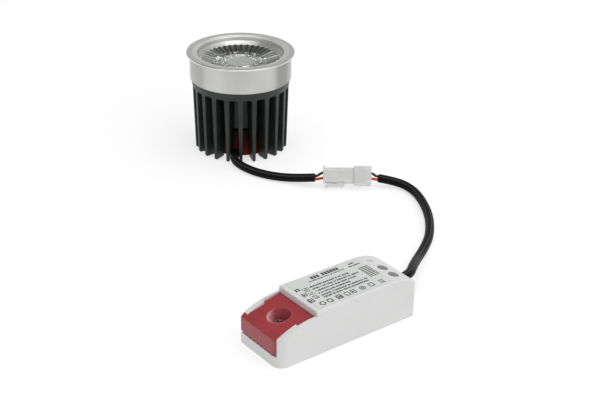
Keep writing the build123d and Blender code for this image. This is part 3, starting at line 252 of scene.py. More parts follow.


# Painted light and shade laid over a finish

# Painted shade on the cap, darker towards its top: brightness by shares of this height
CAP_HEIGHT = 14 * MM
CAP_PAINTED_SHADE_LEVELS = [(0.1, 1.0), (0.45, 0.5), (0.85, 0.06)]
# Painted highlight in pink on one side of the screw well: reach, edge, side and brightness by
# the turn
WELL_REACH = 6 * MM
WELL_HIGHLIGHT_EDGE = [(0.70, 1.0), (0.80, 0.0)]
WELL_HIGHLIGHT_SIDE = 140
WELL_HIGHLIGHT_BY_TURN = [
    (0.0, 0.1), (0.33, 0.12), (0.43, 0.8), (0.5, 1.0), (0.57, 0.8), (0.67, 0.12), (1.0, 0.1),
]
WELL_HIGHLIGHT_PINK = (0.86, 0.42, 0.44)
# Painted highlight lines along the sheath: brightness by the place round it, and their grey
SHEATH_HIGHLIGHT_LINES = [
    (0.135, 0.0), (0.165, 1.0), (0.195, 0.12), (0.25, 0.0), (0.305, 0.12), (0.335, 0.8),
    (0.365, 0.0),
]
SHEATH_HIGHLIGHT_GREY = (0.055, 0.055, 0.056)


def cap_painted_shade(tree, color):
    """Painted shade: the cap is darker towards its top, between the fins."""
    height = about_axis(tree, MODULE, 0)[3]
    level = calc(tree, "MULTIPLY", height, 1 / CAP_HEIGHT)
    return blend(tree, color, grey_ramp(tree, level, CAP_PAINTED_SHADE_LEVELS))


def well_painted_highlight(tree, color):
    """Painted highlight in pink on one side of the screw well."""
    reach, turn = about_axis(tree, WELL, WELL_HIGHLIGHT_SIDE)[1:3]
    near = grey_ramp(tree, calc(tree, "MULTIPLY", reach, 1 / WELL_REACH), WELL_HIGHLIGHT_EDGE)
    side = grey_ramp(tree, turn, WELL_HIGHLIGHT_BY_TURN)
    return blend(tree, color, WELL_HIGHLIGHT_PINK, blend(tree, near, side), "MIX")


def sheath_painted_highlights(tree, color):
    """Painted highlight lines along the sheath, where it swells over its two cores."""
    around = tree.nodes.new("ShaderNodeAttribute")
    around.attribute_name = "around"
    lines = grey_ramp(tree, around.outputs["Fac"], SHEATH_HIGHLIGHT_LINES)
    return blend(tree, color, SHEATH_HIGHLIGHT_GREY, lines, "MIX")


# Finishes: colour, roughness, how far colour and roughness stray, scales of the grain and
# of the blotches, depth of the relief in metres, its strength, and what else is special

FINISHES = {
    "housing_white": (
        (0.655, 0.655, 0.652), 0.42, 0.025, 0.05, 2600, 60, 0.000012, 0.3, {}),
    "base_white": (
        (0.62, 0.62, 0.615), 0.45, 0.03, 0.05, 2600, 60, 0.000012, 0.3, {}),
    "casting_black": (
        (0.014, 0.020, 0.0175), 0.42, 0.18, 0.08, 1900, 150, 0.000035, 0.45,
        {"specular": 0.40}),
    "cap_red": (
        (0.17, 0.006, 0.005), 0.5, 0.14, 0.08, 1500, 120, 0.00002, 0.3,
        {"specular": 0.12, "painted_light": cap_painted_shade}),
    "sheath_black": (
        (0.006, 0.006, 0.0062), 0.40, 0.2, 0.06, 2200, 100, 0.000012, 0.3,
        {"specular": 0.06, "painted_light": sheath_painted_highlights}),
    "wire_red": (
        (0.48, 0.008, 0.010), 0.3, 0.08, 0.05, 2500, 140, 0.00001, 0.25, {}),
    "wire_black": (
        (0.012, 0.012, 0.013), 0.32, 0.15, 0.05, 2500, 140, 0.00001, 0.25, {}),
    "steel": (
        (0.55, 0.55, 0.54), 0.28, 0.1, 0.08, 3000, 400, 0.00001, 0.3, {"metallic": 1.0}),
    # Cover screw: steel with painted shade at the bottom of the red screw well, and a painted
    # red reflection
    "steel_in_painted_shade": (
        (0.24, 0.16, 0.16), 0.45, 0.1, 0.08, 3000, 400, 0.00001, 0.3, {"metallic": 0.8}),
    "tin": (
        (0.72, 0.70, 0.66), 0.3, 0.08, 0.08, 3000, 400, 0.00001, 0.3, {"metallic": 1.0}),
    "holder_white": (
        (0.70, 0.70, 0.69), 0.5, 0.03, 0.05, 2200, 90, 0.00001, 0.3, {}),
    "black_plastic": (
        (0.02, 0.02, 0.021), 0.5, 0.12, 0.06, 2200, 90, 0.00002, 0.35, {}),
    "plug_grey": (
        (0.19, 0.19, 0.19), 0.55, 0.06, 0.05, 2200, 300, 0.00001, 0.3, {}),
    "cover_red": (
        (0.40, 0.040, 0.052), 0.26, 0.06, 0.05, 1800, 120, 0.00001, 0.25,
        {"transmission": 0.20, "painted_light": well_painted_highlight}),
    "label_film": (
        (0.625, 0.635, 0.625), 0.38, 0.02, 0.05, 2600, 80, 0.000006, 0.2, {}),
    "ink_black": (
        (0.018, 0.019, 0.020), 0.6, 0.15, 0.06, 4000, 500, 0.000004, 0.2, {}),
    "connector_milk": (
        (0.82, 0.83, 0.82), 0.24, 0.02, 0.05, 2200, 200, 0.00001, 0.25,
        {"subsurface": 0.15, "transmission": 0.42}),
    "pad_grey": (
        (0.25, 0.30, 0.35), 0.7, 0.08, 0.05, 2400, 200, 0.00002, 0.4, {}),
    "mask_white": (
        (0.75, 0.75, 0.73), 0.4, 0.03, 0.05, 2400, 200, 0.00001, 0.3, {}),
    "gel_yellow": (
        (0.82, 0.55, 0.06), 0.35, 0.06, 0.05, 3200, 400, 0.00001, 0.3, {}),
    "board_green": (
        (0.015, 0.12, 0.035), 0.35, 0.25, 0.08, 1400, 450, 0.00001, 0.4, {}),
    "block_green": (
        (0.02, 0.17, 0.05), 0.5, 0.08, 0.05, 2200, 150, 0.00002, 0.3, {}),
    "box_yellow": (
        (0.62, 0.36, 0.03), 0.35, 0.06, 0.05, 2200, 150, 0.00001, 0.3, {}),
    "ferrite_grey": (
        (0.045, 0.045, 0.048), 0.5, 0.2, 0.08, 1800, 300, 0.00003, 0.4, {}),
    "copper_wire": (
        (0.50, 0.16, 0.05), 0.3, 0.15, 0.08, 2600, 300, 0.00003, 0.5,
        {"metallic": 0.9, "stretch": (1, 1, 8)}),
    "tape_yellow": (
        (0.66, 0.45, 0.04), 0.3, 0.06, 0.05, 2200, 150, 0.00001, 0.3, {}),
    "sleeve_blue": (
        (0.006, 0.012, 0.035), 0.25, 0.2, 0.05, 2200, 150, 0.00001, 0.3, {}),
}
finishes = {name: surface(name, *row, **extra) for name, (*row, extra) in FINISHES.items()}

# The frame's own nodes that stay in sight or inside, by finish
DRESSED = {
    "housing_white": ["driver_housing"],
    "base_white": ["driver_base"],
    "casting_black": ["heatsink"],
    "cap_red": ["rear_cap"],
    "wire_red": ["red_feed_wire", "red_output_wire", "module_red_wire", "driver_red_wire"],
    "wire_black": [
        "black_feed_wire", "black_output_wire", "module_black_wire", "driver_black_wire",
    ],
    "steel": [
        "holder_screws", "cap_screws", "saddle_screws", "clamp_screws", "terminal_screws",
    ],
    "steel_in_painted_shade": ["cover_screw"],
    "tin": ["plug_contacts", "socket_contacts"],
    "holder_white": ["lens_holder"],
    "black_plastic": [
        "lead_saddle", "lead_clamp", "transformer_bobbin", "bridge_rectifier", "control_chip",
        "output_diode",
    ],
    "plug_grey": ["roof_plugs"],
    "cover_red": ["terminal_cover"],
    "label_film": ["rating_label"],
    "connector_milk": ["plug_housing", "socket_housing"],
    "pad_grey": ["thermal_pad"],
    "mask_white": ["led_board"],
    "gel_yellow": ["led_emitter"],
    "board_green": ["circuit_board"],
    "block_green": ["mains_terminal_block"],
    "box_yellow": ["film_capacitor"],
    "ferrite_grey": ["line_inductor_core", "transformer_core"],
    "copper_wire": ["inductor_winding"],
    "tape_yellow": ["transformer_winding"],
    "sleeve_blue": ["input_capacitor", "output_capacitor"],
}


def dress(name, material):
    """Gives a node of the frame its finish."""
    thing = nodes[name]
    if not thing.material_slots:
        thing.data.materials.append(material)
    for slot in thing.material_slots:
        slot.material = material


for finish_name, dressed in DRESSED.items():
    for node_name in dressed:
        dress(node_name, finishes[finish_name])


# Mesh helpers

def closed_mesh(made, name):
    """Turns the faces of a bmesh outwards and makes a mesh of it."""
    bmesh.ops.recalc_face_normals(made, faces=made.faces)
    mesh = bpy.data.meshes.new(name)
    made.to_mesh(mesh)
    made.free()
    return mesh


def add_piece(name, mesh, material, sharp=None):
    """Adds a visible piece, smooth but for edges over an angle, or all flat."""
    thing = bpy.data.objects.new(name, mesh)
    scene.collection.objects.link(thing)
    mesh.materials.append(material)
    if sharp is not None:
        for face in mesh.polygons:
            face.use_smooth = True
        mesh.set_sharp_from_angle(angle=math.radians(sharp))
    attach(thing, "root")
    return thing


def join_rings(made, low, high):
    """Faces between two rings of points, either of which may be a single point."""
    count = max(len(low), len(high))
    for index in range(count):
        after = (index + 1) % count
        if len(low) == 1:
            made.faces.new((low[0], high[after], high[index]))
        elif len(high) == 1:
            made.faces.new((low[index], low[after], high[0]))
        else:
            made.faces.new((low[index], low[after], high[after], high[index]))


def lathe(rows, count):
    """Closed mesh about the module's axis.

    Each row is a radius and height, or a function that gives them for an angle. Where the
    first row isn't on the axis, the last row is joined to it.
    """
    made = bmesh.new()
    rings = []
    for row in rows:
        if not callable(row) and row[0] == 0:
            rings.append([made.verts.new((MODULE.x, MODULE.y, row[1] * MM))])
            continue
        ring = []
        for index in range(count):
            angle = 2 * math.pi * index / count
            radius, height = row(angle) if callable(row) else row
            x = MODULE.x + radius * MM * math.cos(angle)
            y = MODULE.y + radius * MM * math.sin(angle)
            ring.append(made.verts.new((x, y, height * MM)))
        rings.append(ring)
    if len(rings[0]) > 1:
        rings.append(rings[0])
    for low, high in zip(rings, rings[1:]):
        join_rings(made, low, high)
    return closed_mesh(made, "lathe")


# Leads: smooth splines through the route's points, sheathed over two cores

LEAD_RADIUS = 1.9 * MM
LEAD_SIDES = 44
ROUTE_STEPS = 14
VALLEY_DEPTH = 0.085  # share of the radius
VALLEY_WIDTH = 0.30
LEAD_ENDS = [(0, 0.80), (0.10 * MM, 0.93), (0.3 * MM, 1.0)]  # way in, share of the radius
END_CLEAR = 0.35 * MM
LEADS = [
    {
        "name": "module_cable",
        "node": "module_lead",
        "tilt": -12,
        "length": 0.0614,
        "pieces": ["module_black_wire", "module_red_wire", "plug_housing", "plug_contacts"],
        "route": [
            (32.485, 65.233, 1.9),
            (26.724, 59.120, 1.9),
            (21.2, 53.55, 1.9),
            (20.2, 45.7, 1.9),
            (21.8, 36.1, 1.9),
            (26.7, 27.1, 1.9),
            (32.6, 19.3, 2.7),
            (37.1, 13.0, 4.2),
        ],
    },
    {
        "name": "driver_cable",
        "node": "driver_lead",
        "tilt": 8,
        "length": 0.1209,
        "pieces": ["driver_black_wire", "driver_red_wire", "socket_housing", "socket_contacts"],
        "route": [
            (-5.1, -83.15, 9.0),
            (7.6, -83.15, 9.0),
            (17.0, -75.1, 6.6),
            (26.0, -67.8, 3.6),
            (34.4, -62.0, 2.1),
            (45.6, -53.8, 1.9),
            (57.4, -40.2, 1.9),
            (65.6, -25.2, 1.9),
            (68.2, -14.8, 1.9),
            (65.4, -7.9, 2.8),
            (59.6, -3.8, 4.2),
        ],
    },
]


def spline_points(route):
    data = bpy.data.curves.new("route", "CURVE")
    data.dimensions = "3D"
    data.resolution_u = ROUTE_STEPS
    line = data.splines.new("NURBS")
    line.points.add(len(route) - 1)
    for point, place in zip(line.points, route):
        point.co = (*(Vector(place) * MM), 1.0)
    line.order_u = 3
    line.use_endpoint_u = True
    holder = bpy.data.objects.new("route", data)
    mesh = bpy.data.meshes.new_from_object(holder)
    points = [vertex.co.copy() for vertex in mesh.vertices]
    bpy.data.objects.remove(holder)
    bpy.data.meshes.remove(mesh)
    return points


def lead_stations(path):
    """Place, direction and share of the radius all along a lead, rounded in at its ends."""
    first, last = path[0], path[-1]
    start = (path[1] - first).normalized()
    end = (last - path[-2]).normalized()
    stations = [(first + start * shift, start, size) for shift, size in LEAD_ENDS]
    for before, place, after in zip(path, path[1:], path[2:]):
        if min((place - first).length, (place - last).length) >= END_CLEAR:
            stations.append((place, (after - before).normalized(), 1.0))
    stations += [(last - end * shift, end, size) for shift, size in reversed(LEAD_ENDS)]
    return stations


def sheath_mesh(name, path, tilt):
    """A two-core sheath along a path: round, with a shallow valley over and under."""
    made = bmesh.new()
    rings = []
    for place, ahead, size in lead_stations(path):
        beside = ahead.cross(Vector((0, 0, 1))).normalized()
        over = beside.cross(ahead).normalized()
        ring = []
        for step in range(LEAD_SIDES):
            angle = 2 * math.pi * step / LEAD_SIDES
            valley = math.exp(-((math.cos(angle) / VALLEY_WIDTH) ** 2))
            reach = LEAD_RADIUS * size * (1 - VALLEY_DEPTH * valley)
            turned = angle + math.radians(tilt)
            way = beside * (math.cos(turned) * reach) + over * (math.sin(turned) * reach)
            ring.append(made.verts.new(place + way))
        rings.append(ring)
    for low, high in zip(rings, rings[1:]):
        join_rings(made, low, high)
    made.faces.new(list(reversed(rings[0])))
    made.faces.new(rings[-1])
    mesh = closed_mesh(made, name)
    marks = mesh.attributes.new("around", "FLOAT", "POINT")
    for index, mark in enumerate(marks.data):
        mark.value = (index % LEAD_SIDES) / LEAD_SIDES
    return mesh


for lead in LEADS:
    lead_path = spline_points(lead["route"])
    cable = add_piece(
        lead["name"], sheath_mesh(lead["name"], lead_path, lead["tilt"]),
        finishes["sheath_black"], 50,
    )
    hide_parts(lead["node"])


# Front ring: turned aluminium with fine turning lines

RING_METAL = (0.78, 0.78, 0.77)
RING_ROUGH = 0.26
# The flange's top face: one lighter flat tone, painted light
FLANGE_FACE_PAINTED_LIGHT = (0.86, 0.865, 0.86)
OUTSIDE_FROM = 22.5 * MM  # radius
WALL_TOP = 45.9 * MM
FACE_FROM = 46.6 * MM
INSIDE_TO = 21.4 * MM  # radius
BEVEL_TO = 20.02 * MM  # radius
INSIDE_ROUGHER = 0.22
WALL_ROUGHER = 0.10

# Painted reflections: brightness of the ring's wall by the angle from the side that faces the
# camera
RING_PAINTED_REFLECTIONS = [
    (-180, 0.72), (-150, 0.60), (-120, 0.80), (-90, 0.72), (-65, 0.56), (-50, 0.55),
    (-41, 0.73), (-26, 0.79), (-12, 0.69), (-3, 0.67), (6, 0.76), (16, 0.78),
    (30, 0.79), (38, 0.73), (47, 0.44), (60, 0.40), (74, 0.62), (95, 0.76),
    (125, 0.60), (150, 0.74), (180, 0.72),
]

# Painted highlight on the bevel inside, by the turn, with 0 and 1 at the side away from the
# camera
BEVEL_PAINTED_HIGHLIGHT = [(0.0, 0.98), (0.05, 0.92), (0.08, 0.64), (0.92, 0.64), (0.95, 0.92), (1.0, 0.98)]

# Radius, height and corner radius of the ring's section
RING_CORNERS = [
    (21.45, 46.9, 0.06),
    (21.35, 46.74, 0.06),
    (20.15, 46.50, 0.25),
    (20.0, 44.8, 0.15),
    (18.7, 43.5, 0.1),
    (18.7, 42.9, 0.0),
    (22.0, 42.9, 0.1),
    (22.0, 34.4, 0.1),
    (23.1, 34.4, 0.12),
    (23.5, 34.8, 0.2),
    (23.5, 45.6, 0.08),
    (23.2, 45.75, 0.06),
    (23.2, 46.05, 0.05),
    (25.0, 46.05, 0.36),
    (25.0, 46.9, 0.40),
]
CORNER_STEPS = 4
CORNER_SHARE = 0.45  # of the shorter edge beside it
RING_SIDES = 256


def ring_metal():
    """Bare turned metal: fine lines round the module's axis, and broad soft bands of painted
    reflection.
    """
    material, tree, shader = new_material("ring_metal")
    place, reach, turn, height = about_axis(tree, MODULE, CAMERA_SIDE)
    lines = tree.nodes.new("ShaderNodeCombineXYZ")
    tree.links.new(reach, lines.inputs["X"])
    tree.links.new(height, lines.inputs["Y"])
    turned = noise(tree, lines.outputs["Vector"], 9000, 2.0, 0.6)
    tint = ramp(tree, noise(tree, place, 130), strayed(RING_METAL, 0.01))
    fine = grey_ramp(tree, turned, [(0.3, 0.93), (0.7, 1.0)])
    ring_painted_bands = grey_ramp(tree, turn, [(0.5 + angle / 360, level) for angle, level in RING_PAINTED_REFLECTIONS])
    outer = calc(tree, "GREATER_THAN", reach, OUTSIDE_FROM)
    wall = calc(tree, "MULTIPLY", outer, calc(tree, "LESS_THAN", height, WALL_TOP))
    face = calc(tree, "MULTIPLY", outer, calc(tree, "GREATER_THAN", height, FACE_FROM))
    bevel = calc(tree, "LESS_THAN", reach, BEVEL_TO)
    result = blend(tree, blend(tree, tint, fine), ring_painted_bands, wall)
    result = blend(tree, result, FLANGE_FACE_PAINTED_LIGHT, face)
    result = blend(tree, result, grey_ramp(tree, turn, BEVEL_PAINTED_HIGHLIGHT), bevel)
    tree.links.new(result, shader.inputs["Base Color"])
    rough = scaled(tree, turned, RING_ROUGH - 0.05, RING_ROUGH + 0.05)
    inside = calc(tree, "LESS_THAN", reach, INSIDE_TO)
    rough = calc(tree, "ADD", rough, calc(tree, "MULTIPLY", inside, INSIDE_ROUGHER))
    rough = calc(tree, "ADD", rough, calc(tree, "MULTIPLY", wall, WALL_ROUGHER))
    tree.links.new(rough, shader.inputs["Roughness"])
    bump(tree, shader, turned, 0.12, 0.000006)
    settle(shader, {"Metallic": 1.0})
    return material


def rounded(corners):
    """Closed section with its corners swept round."""
    points = []
    count = len(corners)
    for index, (x, y, size) in enumerate(corners):
        place = Vector((x, y))
        if size == 0:
            points.append(tuple(place))
            continue
        before = Vector(corners[index - 1][:2]) - place
        after = Vector(corners[(index + 1) % count][:2]) - place
        size = min(size, before.length * CORNER_SHARE, after.length * CORNER_SHARE)
        start = place + before.normalized() * size
        end = place + after.normalized() * size
        for step in range(CORNER_STEPS + 1):
            t = step / CORNER_STEPS
            point = start * (1 - t) ** 2 + place * 2 * t * (1 - t) + end * t ** 2
            points.append(tuple(point))
    return points


ring_piece = add_piece(
    "ring_turned", lathe(rounded(RING_CORNERS), RING_SIDES), ring_metal(), 32
)
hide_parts("front_ring")


# Lens: fluted dish round a disc of small lenslets, with rows of cushions between them

FLUTES = 40
COLUMNS_PER_FLUTE = 10
LENSLET_PITCH = 1.3
LENSLET_HEIGHT = 0.06
DISC_TOP = 41.75
DISC_EDGE = 6.55
DISC_STEP = 0.35
CUSHIONS_FROM = 6.7
CUSHION_ROW = 0.8667
CUSHION_HEIGHT = 0.24
FLUTES_FROM = 9.3
FLUTES_LONG = 8.8
FLUTE_DEPTH = 0.16
FLUTE_DEEPENS = 0.28
FLUTE_END = 17.85
FLUTE_SWELL = 0.42  # how much further the middle of a flute reaches
FLUTE_FADE = 0.25
DISH = [(6.7, 41.50), (9.2, 41.70), (12.0, 42.02), (15.0, 42.66), (18.1, 43.36), (18.65, 43.40)]

# Radii that the painted reflections change at, and the slant of the disc's painted hatch
HATCH_TO = 6.6 * MM
CUSHIONS_TO = 9.9 * MM
PAINTED_GLINTS_TO = 12.5 * MM
RIM_FROM = 18.1 * MM
DISH_REACH = 20 * MM
HATCH_SLANT = 20
WAVE_UNIT = math.pi / 10  # scale of a wave texture whose bands lie one unit apart
LENS_TINTS = [(0.3, (0.74, 0.78, 0.74)), (0.7, (0.84, 0.86, 0.83))]
RIM_TINT = (0.9, 0.9, 0.9)
# Painted reflections on the flutes: across each one, a tone for each, and painted shade outward
FLUTE_PAINTED_REFLECTION_ACROSS = [(0.0, 0.17), (0.10, 0.24), (0.26, 1.0), (0.74, 1.0), (0.90, 0.24), (1.0, 0.17)]
FLUTE_PAINTED_REFLECTION_EACH = [(0.0, 0.50), (1.0, 1.0)]
FLUTE_PAINTED_SHADE_ALONG = [(0.5, 1.0), (0.68, 0.95), (0.9, 0.85)]
# Painted glints: brightness of the cushions and of the flutes nearest the disc, by a random
# value for each cell
CUSHION_PAINTED_GLINTS = [(0.0, 0.28), (0.45, 0.5), (0.7, 0.75), (0.85, 1.0)]
PAINTED_GLINT_LEVELS = [(0.0, 0.1), (0.72, 0.2), (0.84, 1.0)]
# Painted highlights: brightness of the disc's slanted bands
HATCH_PAINTED_HIGHLIGHTS = [(0.25, 0.42), (0.75, 0.95)]

# By the turn, with 0 and 1 at the side away from the camera: painted shade and haze
FAR_SIDE_PAINTED_SHADE = [(0.0, 0.16), (0.11, 0.23), (0.20, 1.0), (0.80, 1.0), (0.89, 0.23), (1.0, 0.16)]
FAR_HAZE = [(0.0, 0.28), (0.12, 0.24), (0.20, 0.0), (0.80, 0.0), (0.88, 0.24), (1.0, 0.28)]


def painted_flute_reflections(tree, reach, angle, facing, painted_glints):
    """Painted reflections on the flutes, each one its own, with painted glints nearest the
    disc.
    """
    each = tree.nodes.new("ShaderNodeTexWhiteNoise")
    each.noise_dimensions = "1D"
    tree.links.new(calc(tree, "FLOOR", angle), each.inputs["W"])
    flutes = grey_ramp(tree, calc(tree, "FRACT", angle), FLUTE_PAINTED_REFLECTION_ACROSS)
    flutes = blend(tree, flutes, grey_ramp(tree, each.outputs["Value"], FLUTE_PAINTED_REFLECTION_EACH))
    outward = calc(tree, "MULTIPLY", reach, 1 / DISH_REACH)
    flutes = blend(tree, flutes, grey_ramp(tree, outward, FLUTE_PAINTED_SHADE_ALONG))
    flutes = blend(tree, flutes, grey_ramp(tree, facing, FAR_SIDE_PAINTED_SHADE))
    near_disc = calc(tree, "LESS_THAN", reach, PAINTED_GLINTS_TO)
    return blend(tree, flutes, painted_glints, near_disc, "LIGHTEN")


def painted_disc_hatch(tree, place):
    """Painted highlights on the disc: fine slanted bands over its rows of lenslets."""
    slant = tree.nodes.new("ShaderNodeMapping")
    slant.inputs["Rotation"].default_value = (0, 0, math.radians(-HATCH_SLANT))
    tree.links.new(place, slant.inputs["Vector"])
    hatch = tree.nodes.new("ShaderNodeTexWave")
    hatch.wave_type = "BANDS"
    hatch.bands_direction = "Y"
    hatch.inputs["Scale"].default_value = WAVE_UNIT / (LENSLET_PITCH * MM)
    tree.links.new(slant.outputs["Vector"], hatch.inputs["Vector"])
    return grey_ramp(tree, hatch.outputs["Fac"], HATCH_PAINTED_HIGHLIGHTS)


def lens_metal():
    """Moulded optic, silvered from behind, with painted reflections and glints on each flute
    and cushion.
    """
    material, tree, shader = new_material("lens_silvered")
    place, reach, turn, _ = about_axis(tree, MODULE, 0)
    facing = about_axis(tree, MODULE, CAMERA_SIDE)[2]
    broad = noise(tree, place, 220)
    angle = calc(tree, "MULTIPLY", turn, FLUTES)
    column = calc(tree, "FLOOR", calc(tree, "MULTIPLY", angle, 2.0))
    row = calc(tree, "FLOOR", calc(tree, "MULTIPLY", reach, 1 / (CUSHION_ROW * MM)))
    cell = cell_value(tree, column, row)
    painted_glints = grey_ramp(tree, cell, PAINTED_GLINT_LEVELS)
    lens_painted_reflections = painted_flute_reflections(tree, reach, angle, facing, painted_glints)
    in_cushions = calc(tree, "LESS_THAN", reach, CUSHIONS_TO)
    lens_painted_reflections = blend(tree, lens_painted_reflections, grey_ramp(tree, cell, CUSHION_PAINTED_GLINTS), in_cushions, "MIX")
    in_disc = calc(tree, "LESS_THAN", reach, HATCH_TO)
    lens_painted_reflections = blend(tree, lens_painted_reflections, painted_disc_hatch(tree, place), in_disc, "MIX")
    on_rim = calc(tree, "GREATER_THAN", reach, RIM_FROM)
    lens_painted_reflections = blend(tree, lens_painted_reflections, RIM_TINT, on_rim, "MIX")
    tint = blend(tree, ramp(tree, broad, LENS_TINTS), lens_painted_reflections)
    tree.links.new(tint, shader.inputs["Base Color"])
    on_flutes = calc(tree, "GREATER_THAN", reach, CUSHIONS_TO)
    haze = calc(tree, "MULTIPLY", grey_ramp(tree, facing, FAR_HAZE), on_flutes)
    rough = calc(tree, "ADD", scaled(tree, broad, 0.06, 0.14), haze)
    tree.links.new(rough, shader.inputs["Roughness"])
    bump(tree, shader, noise(tree, place, 2500), 0.08, 0.000008)
    settle(shader, {"Metallic": 0.92, "Coat Weight": 0.08, "Coat Roughness": 0.05})
    return material


def dish_height(radius):
    for (r0, z0), (r1, z1) in zip(DISH, DISH[1:]):
        if radius <= r1:
            return z0 + (z1 - z0) * (radius - r0) / (r1 - r0)
    return DISH[-1][1]


def lenslet(x, y):
    """Height of the nearest lenslet of a hexagonal field, between 0 and 1."""
    row = LENSLET_PITCH * math.sqrt(3) / 2
    middle = round(y / row)
    squares = []
    for j in (middle - 1, middle, middle + 1):
        shift = 0.5 * LENSLET_PITCH if j % 2 else 0.0
        i = round((x - shift) / LENSLET_PITCH)
        squares.append((x - shift - i * LENSLET_PITCH) ** 2 + (y - j * row) ** 2)
    return 1 - min(squares) / (LENSLET_PITCH * LENSLET_PITCH / 3)


def arch(part):
    """Rises from 0 to 1 at the middle of a span and falls back to 0."""
    return 1 - (2 * part - 1) ** 2


def lens_height(radius, angle):
    part = (angle / (2 * math.pi) * FLUTES) % 1.0
    if radius < DISC_EDGE:
        x = radius * math.cos(angle)
        y = radius * math.sin(angle)
        return DISC_TOP + LENSLET_HEIGHT * lenslet(x, y)
    if radius < CUSHIONS_FROM:
        return DISC_TOP - DISC_STEP * (radius - DISC_EDGE) / (CUSHIONS_FROM - DISC_EDGE)
    base = dish_height(radius)
    if radius < FLUTES_FROM:
        row = (radius - CUSHIONS_FROM) / CUSHION_ROW
        part = (part + 0.5 * (int(row) % 2)) % 1.0
        return base + CUSHION_HEIGHT * (arch(part) * arch(row % 1.0))
    edge = FLUTE_END + FLUTE_SWELL * arch(part)
    if radius > edge:
        return base
    depth = FLUTE_DEPTH + FLUTE_DEEPENS * (radius - FLUTES_FROM) / FLUTES_LONG
    return base - depth * arch(part) * min(1.0, (edge - radius) / FLUTE_FADE)


def lens_mesh():
    radii = [0.22 + 0.185 * i for i in range(34)]
    radii += [DISC_EDGE, CUSHIONS_FROM]
    radii += [CUSHIONS_FROM + CUSHION_ROW * (i + 1) / 5 for i in range(15)]
    radii += [9.6 + 0.55 * i for i in range(15)]
    radii += [17.5, 17.75, 17.9, 18.0, 18.1, 18.2, 18.3, 18.45, 18.65]
    rows = [(0, lens_height(0.0, 0.0))]
    for radius in radii:
        rows.append(lambda angle, r=radius: (r, lens_height(r, angle)))
    rows += [
        (18.68, 43.2), (18.68, 42.9), (21.6, 42.9), (21.6, 41.7), (17.0, 41.7),
        (6.9, 35.5), (6.3, 35.5), (6.0, 37.5), (0, 38.1),
    ]
    return lathe(rows, FLUTES * COLUMNS_PER_FLUTE)


lens_piece = add_piece("lens_fluted", lens_mesh(), lens_metal(), 24)
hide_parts("lens")


# Print on the label: plain bars, squares and rings in place of its marks

PRINT_LOW = 17.99
PRINT_HIGH = 18.015
RING_POINTS = 32
BAR_GAP = 0.004  # keeps a frame's upright bars off its level ones
DRAW_SEED = 11
DRAW_RANGE = 2 ** 31
SHORTEST_DASH = 0.35
LOWEST_DASH = 0.85  # share of the row's height
LAST_DASH_ROOM = 0.3
GAPS_IN_WORDS = 0.75  # share of the gaps, the others are wider
WORD_GAP = 2.6  # times the gap in words

# Rows of dashes: start, end, place across, height, longest dash, gap
DASHES = [
    (26.5, 42.7, 6.5, 0.6, 1.0, 0.2),
    (24.5, 42.5, 3.4, 0.85, 1.1, 0.2),
    (24.5, 45.5, 1.7, 0.85, 1.1, 0.2),
    (24.5, 43.0, 0.0, 0.85, 1.1, 0.2),
    (24.5, 39.0, -1.7, 0.85, 1.1, 0.2),
    (24.5, 45.5, -3.4, 0.85, 1.1, 0.2),
    (24.5, 45.0, -4.9, 0.85, 1.1, 0.2),
    (46.0, 49.0, 8.2, 0.9, 0.9, 0.25),
    (45.0, 50.5, 6.6, 0.75, 0.9, 0.2),
]
DASHES += [
    (21.2, 23.6, y, 0.55, 0.9, 0.2) for y in (3.7, 2.7, 1.7, 0.2, -0.8, -2.2, -3.2, -4.0)
]

# Bars: start, place across, length, height
BARS = [(x, 8.3, 1.0, 1.75) for x in (28.6, 29.9, 31.2, 33.6, 34.9, 36.2, 37.5, 38.8, 40.1)]
BARS += [
    (18.6, 4.9, 1.9, 0.55),
    (18.6, 3.9, 0.7, 0.9),
    (19.7, 3.9, 0.8, 0.9),
    (19.2, 0.15, 0.9, 0.6),
    (18.8, -4.25, 0.9, 0.8),
]
BARS += [(47.6, y, 3.2, 0.42) for y in (3.6, 2.6, 1.6, 0.6, -0.4, -1.4, -2.4, -3.4)]
BARS += [
    (47.2, 0.1, 0.26, 7.8),
    (51.0, 0.1, 0.26, 7.8),
    (28.5, -7.95, 1.2, 0.7),
    (34.95, -7.9, 0.8, 0.7),
    (47.2, -7.2, 2.2, 0.3),
    (47.6, -8.1, 0.35, 1.2),
    (48.7, -8.1, 0.35, 1.2),
    (47.2, -9.0, 2.2, 0.4),
]

# Square outlines: start, lower edge, width, height, thickness of the line
FRAMES = [
    (18.8, -0.6, 1.9, 1.7, 0.34),
    (18.3, -5.2, 2.1, 2.1, 0.40),
    (27.9, -8.9, 2.4, 2.1, 0.50),
    (31.6, -8.9, 2.0, 2.1, 0.34),
    (34.4, -8.9, 2.0, 2.1, 0.34),
    (42.6, -8.9, 2.2, 2.0, 0.36),
]

# Rings: middle, radius, thickness of the line
RINGS = [
    (21.6, -7.9, 1.25, 0.45),
    (24.9, -7.9, 1.25, 0.45),
    (39.6, -7.9, 1.25, 0.34),
    (39.6, -7.9, 0.6, 0.3),
]


def print_ring(made, corners, level):
    """Ring of points on the label from places along and across the driver."""
    return [made.verts.new(DRIVER + Vector((x, y, level)) * MM) for x, y in corners]


def add_bar(made, x, y, length, height):
    half = height / 2
    corners = [(x, y - half), (x + length, y - half), (x + length, y + half), (x, y + half)]
    low = print_ring(made, corners, PRINT_LOW)
    high = print_ring(made, corners, PRINT_HIGH)
    made.faces.new(list(reversed(low)))
    made.faces.new(high)
    join_rings(made, low, high)


def add_frame(made, x, y, width, height, line):
    """Square outline from four bars that only just part."""
    add_bar(made, x, y, width, line)
    add_bar(made, x, y + height, width, line)
    add_bar(made, x, y + height / 2, line, height - line - BAR_GAP)
    add_bar(made, x + width - line, y + height / 2, line, height - line - BAR_GAP)


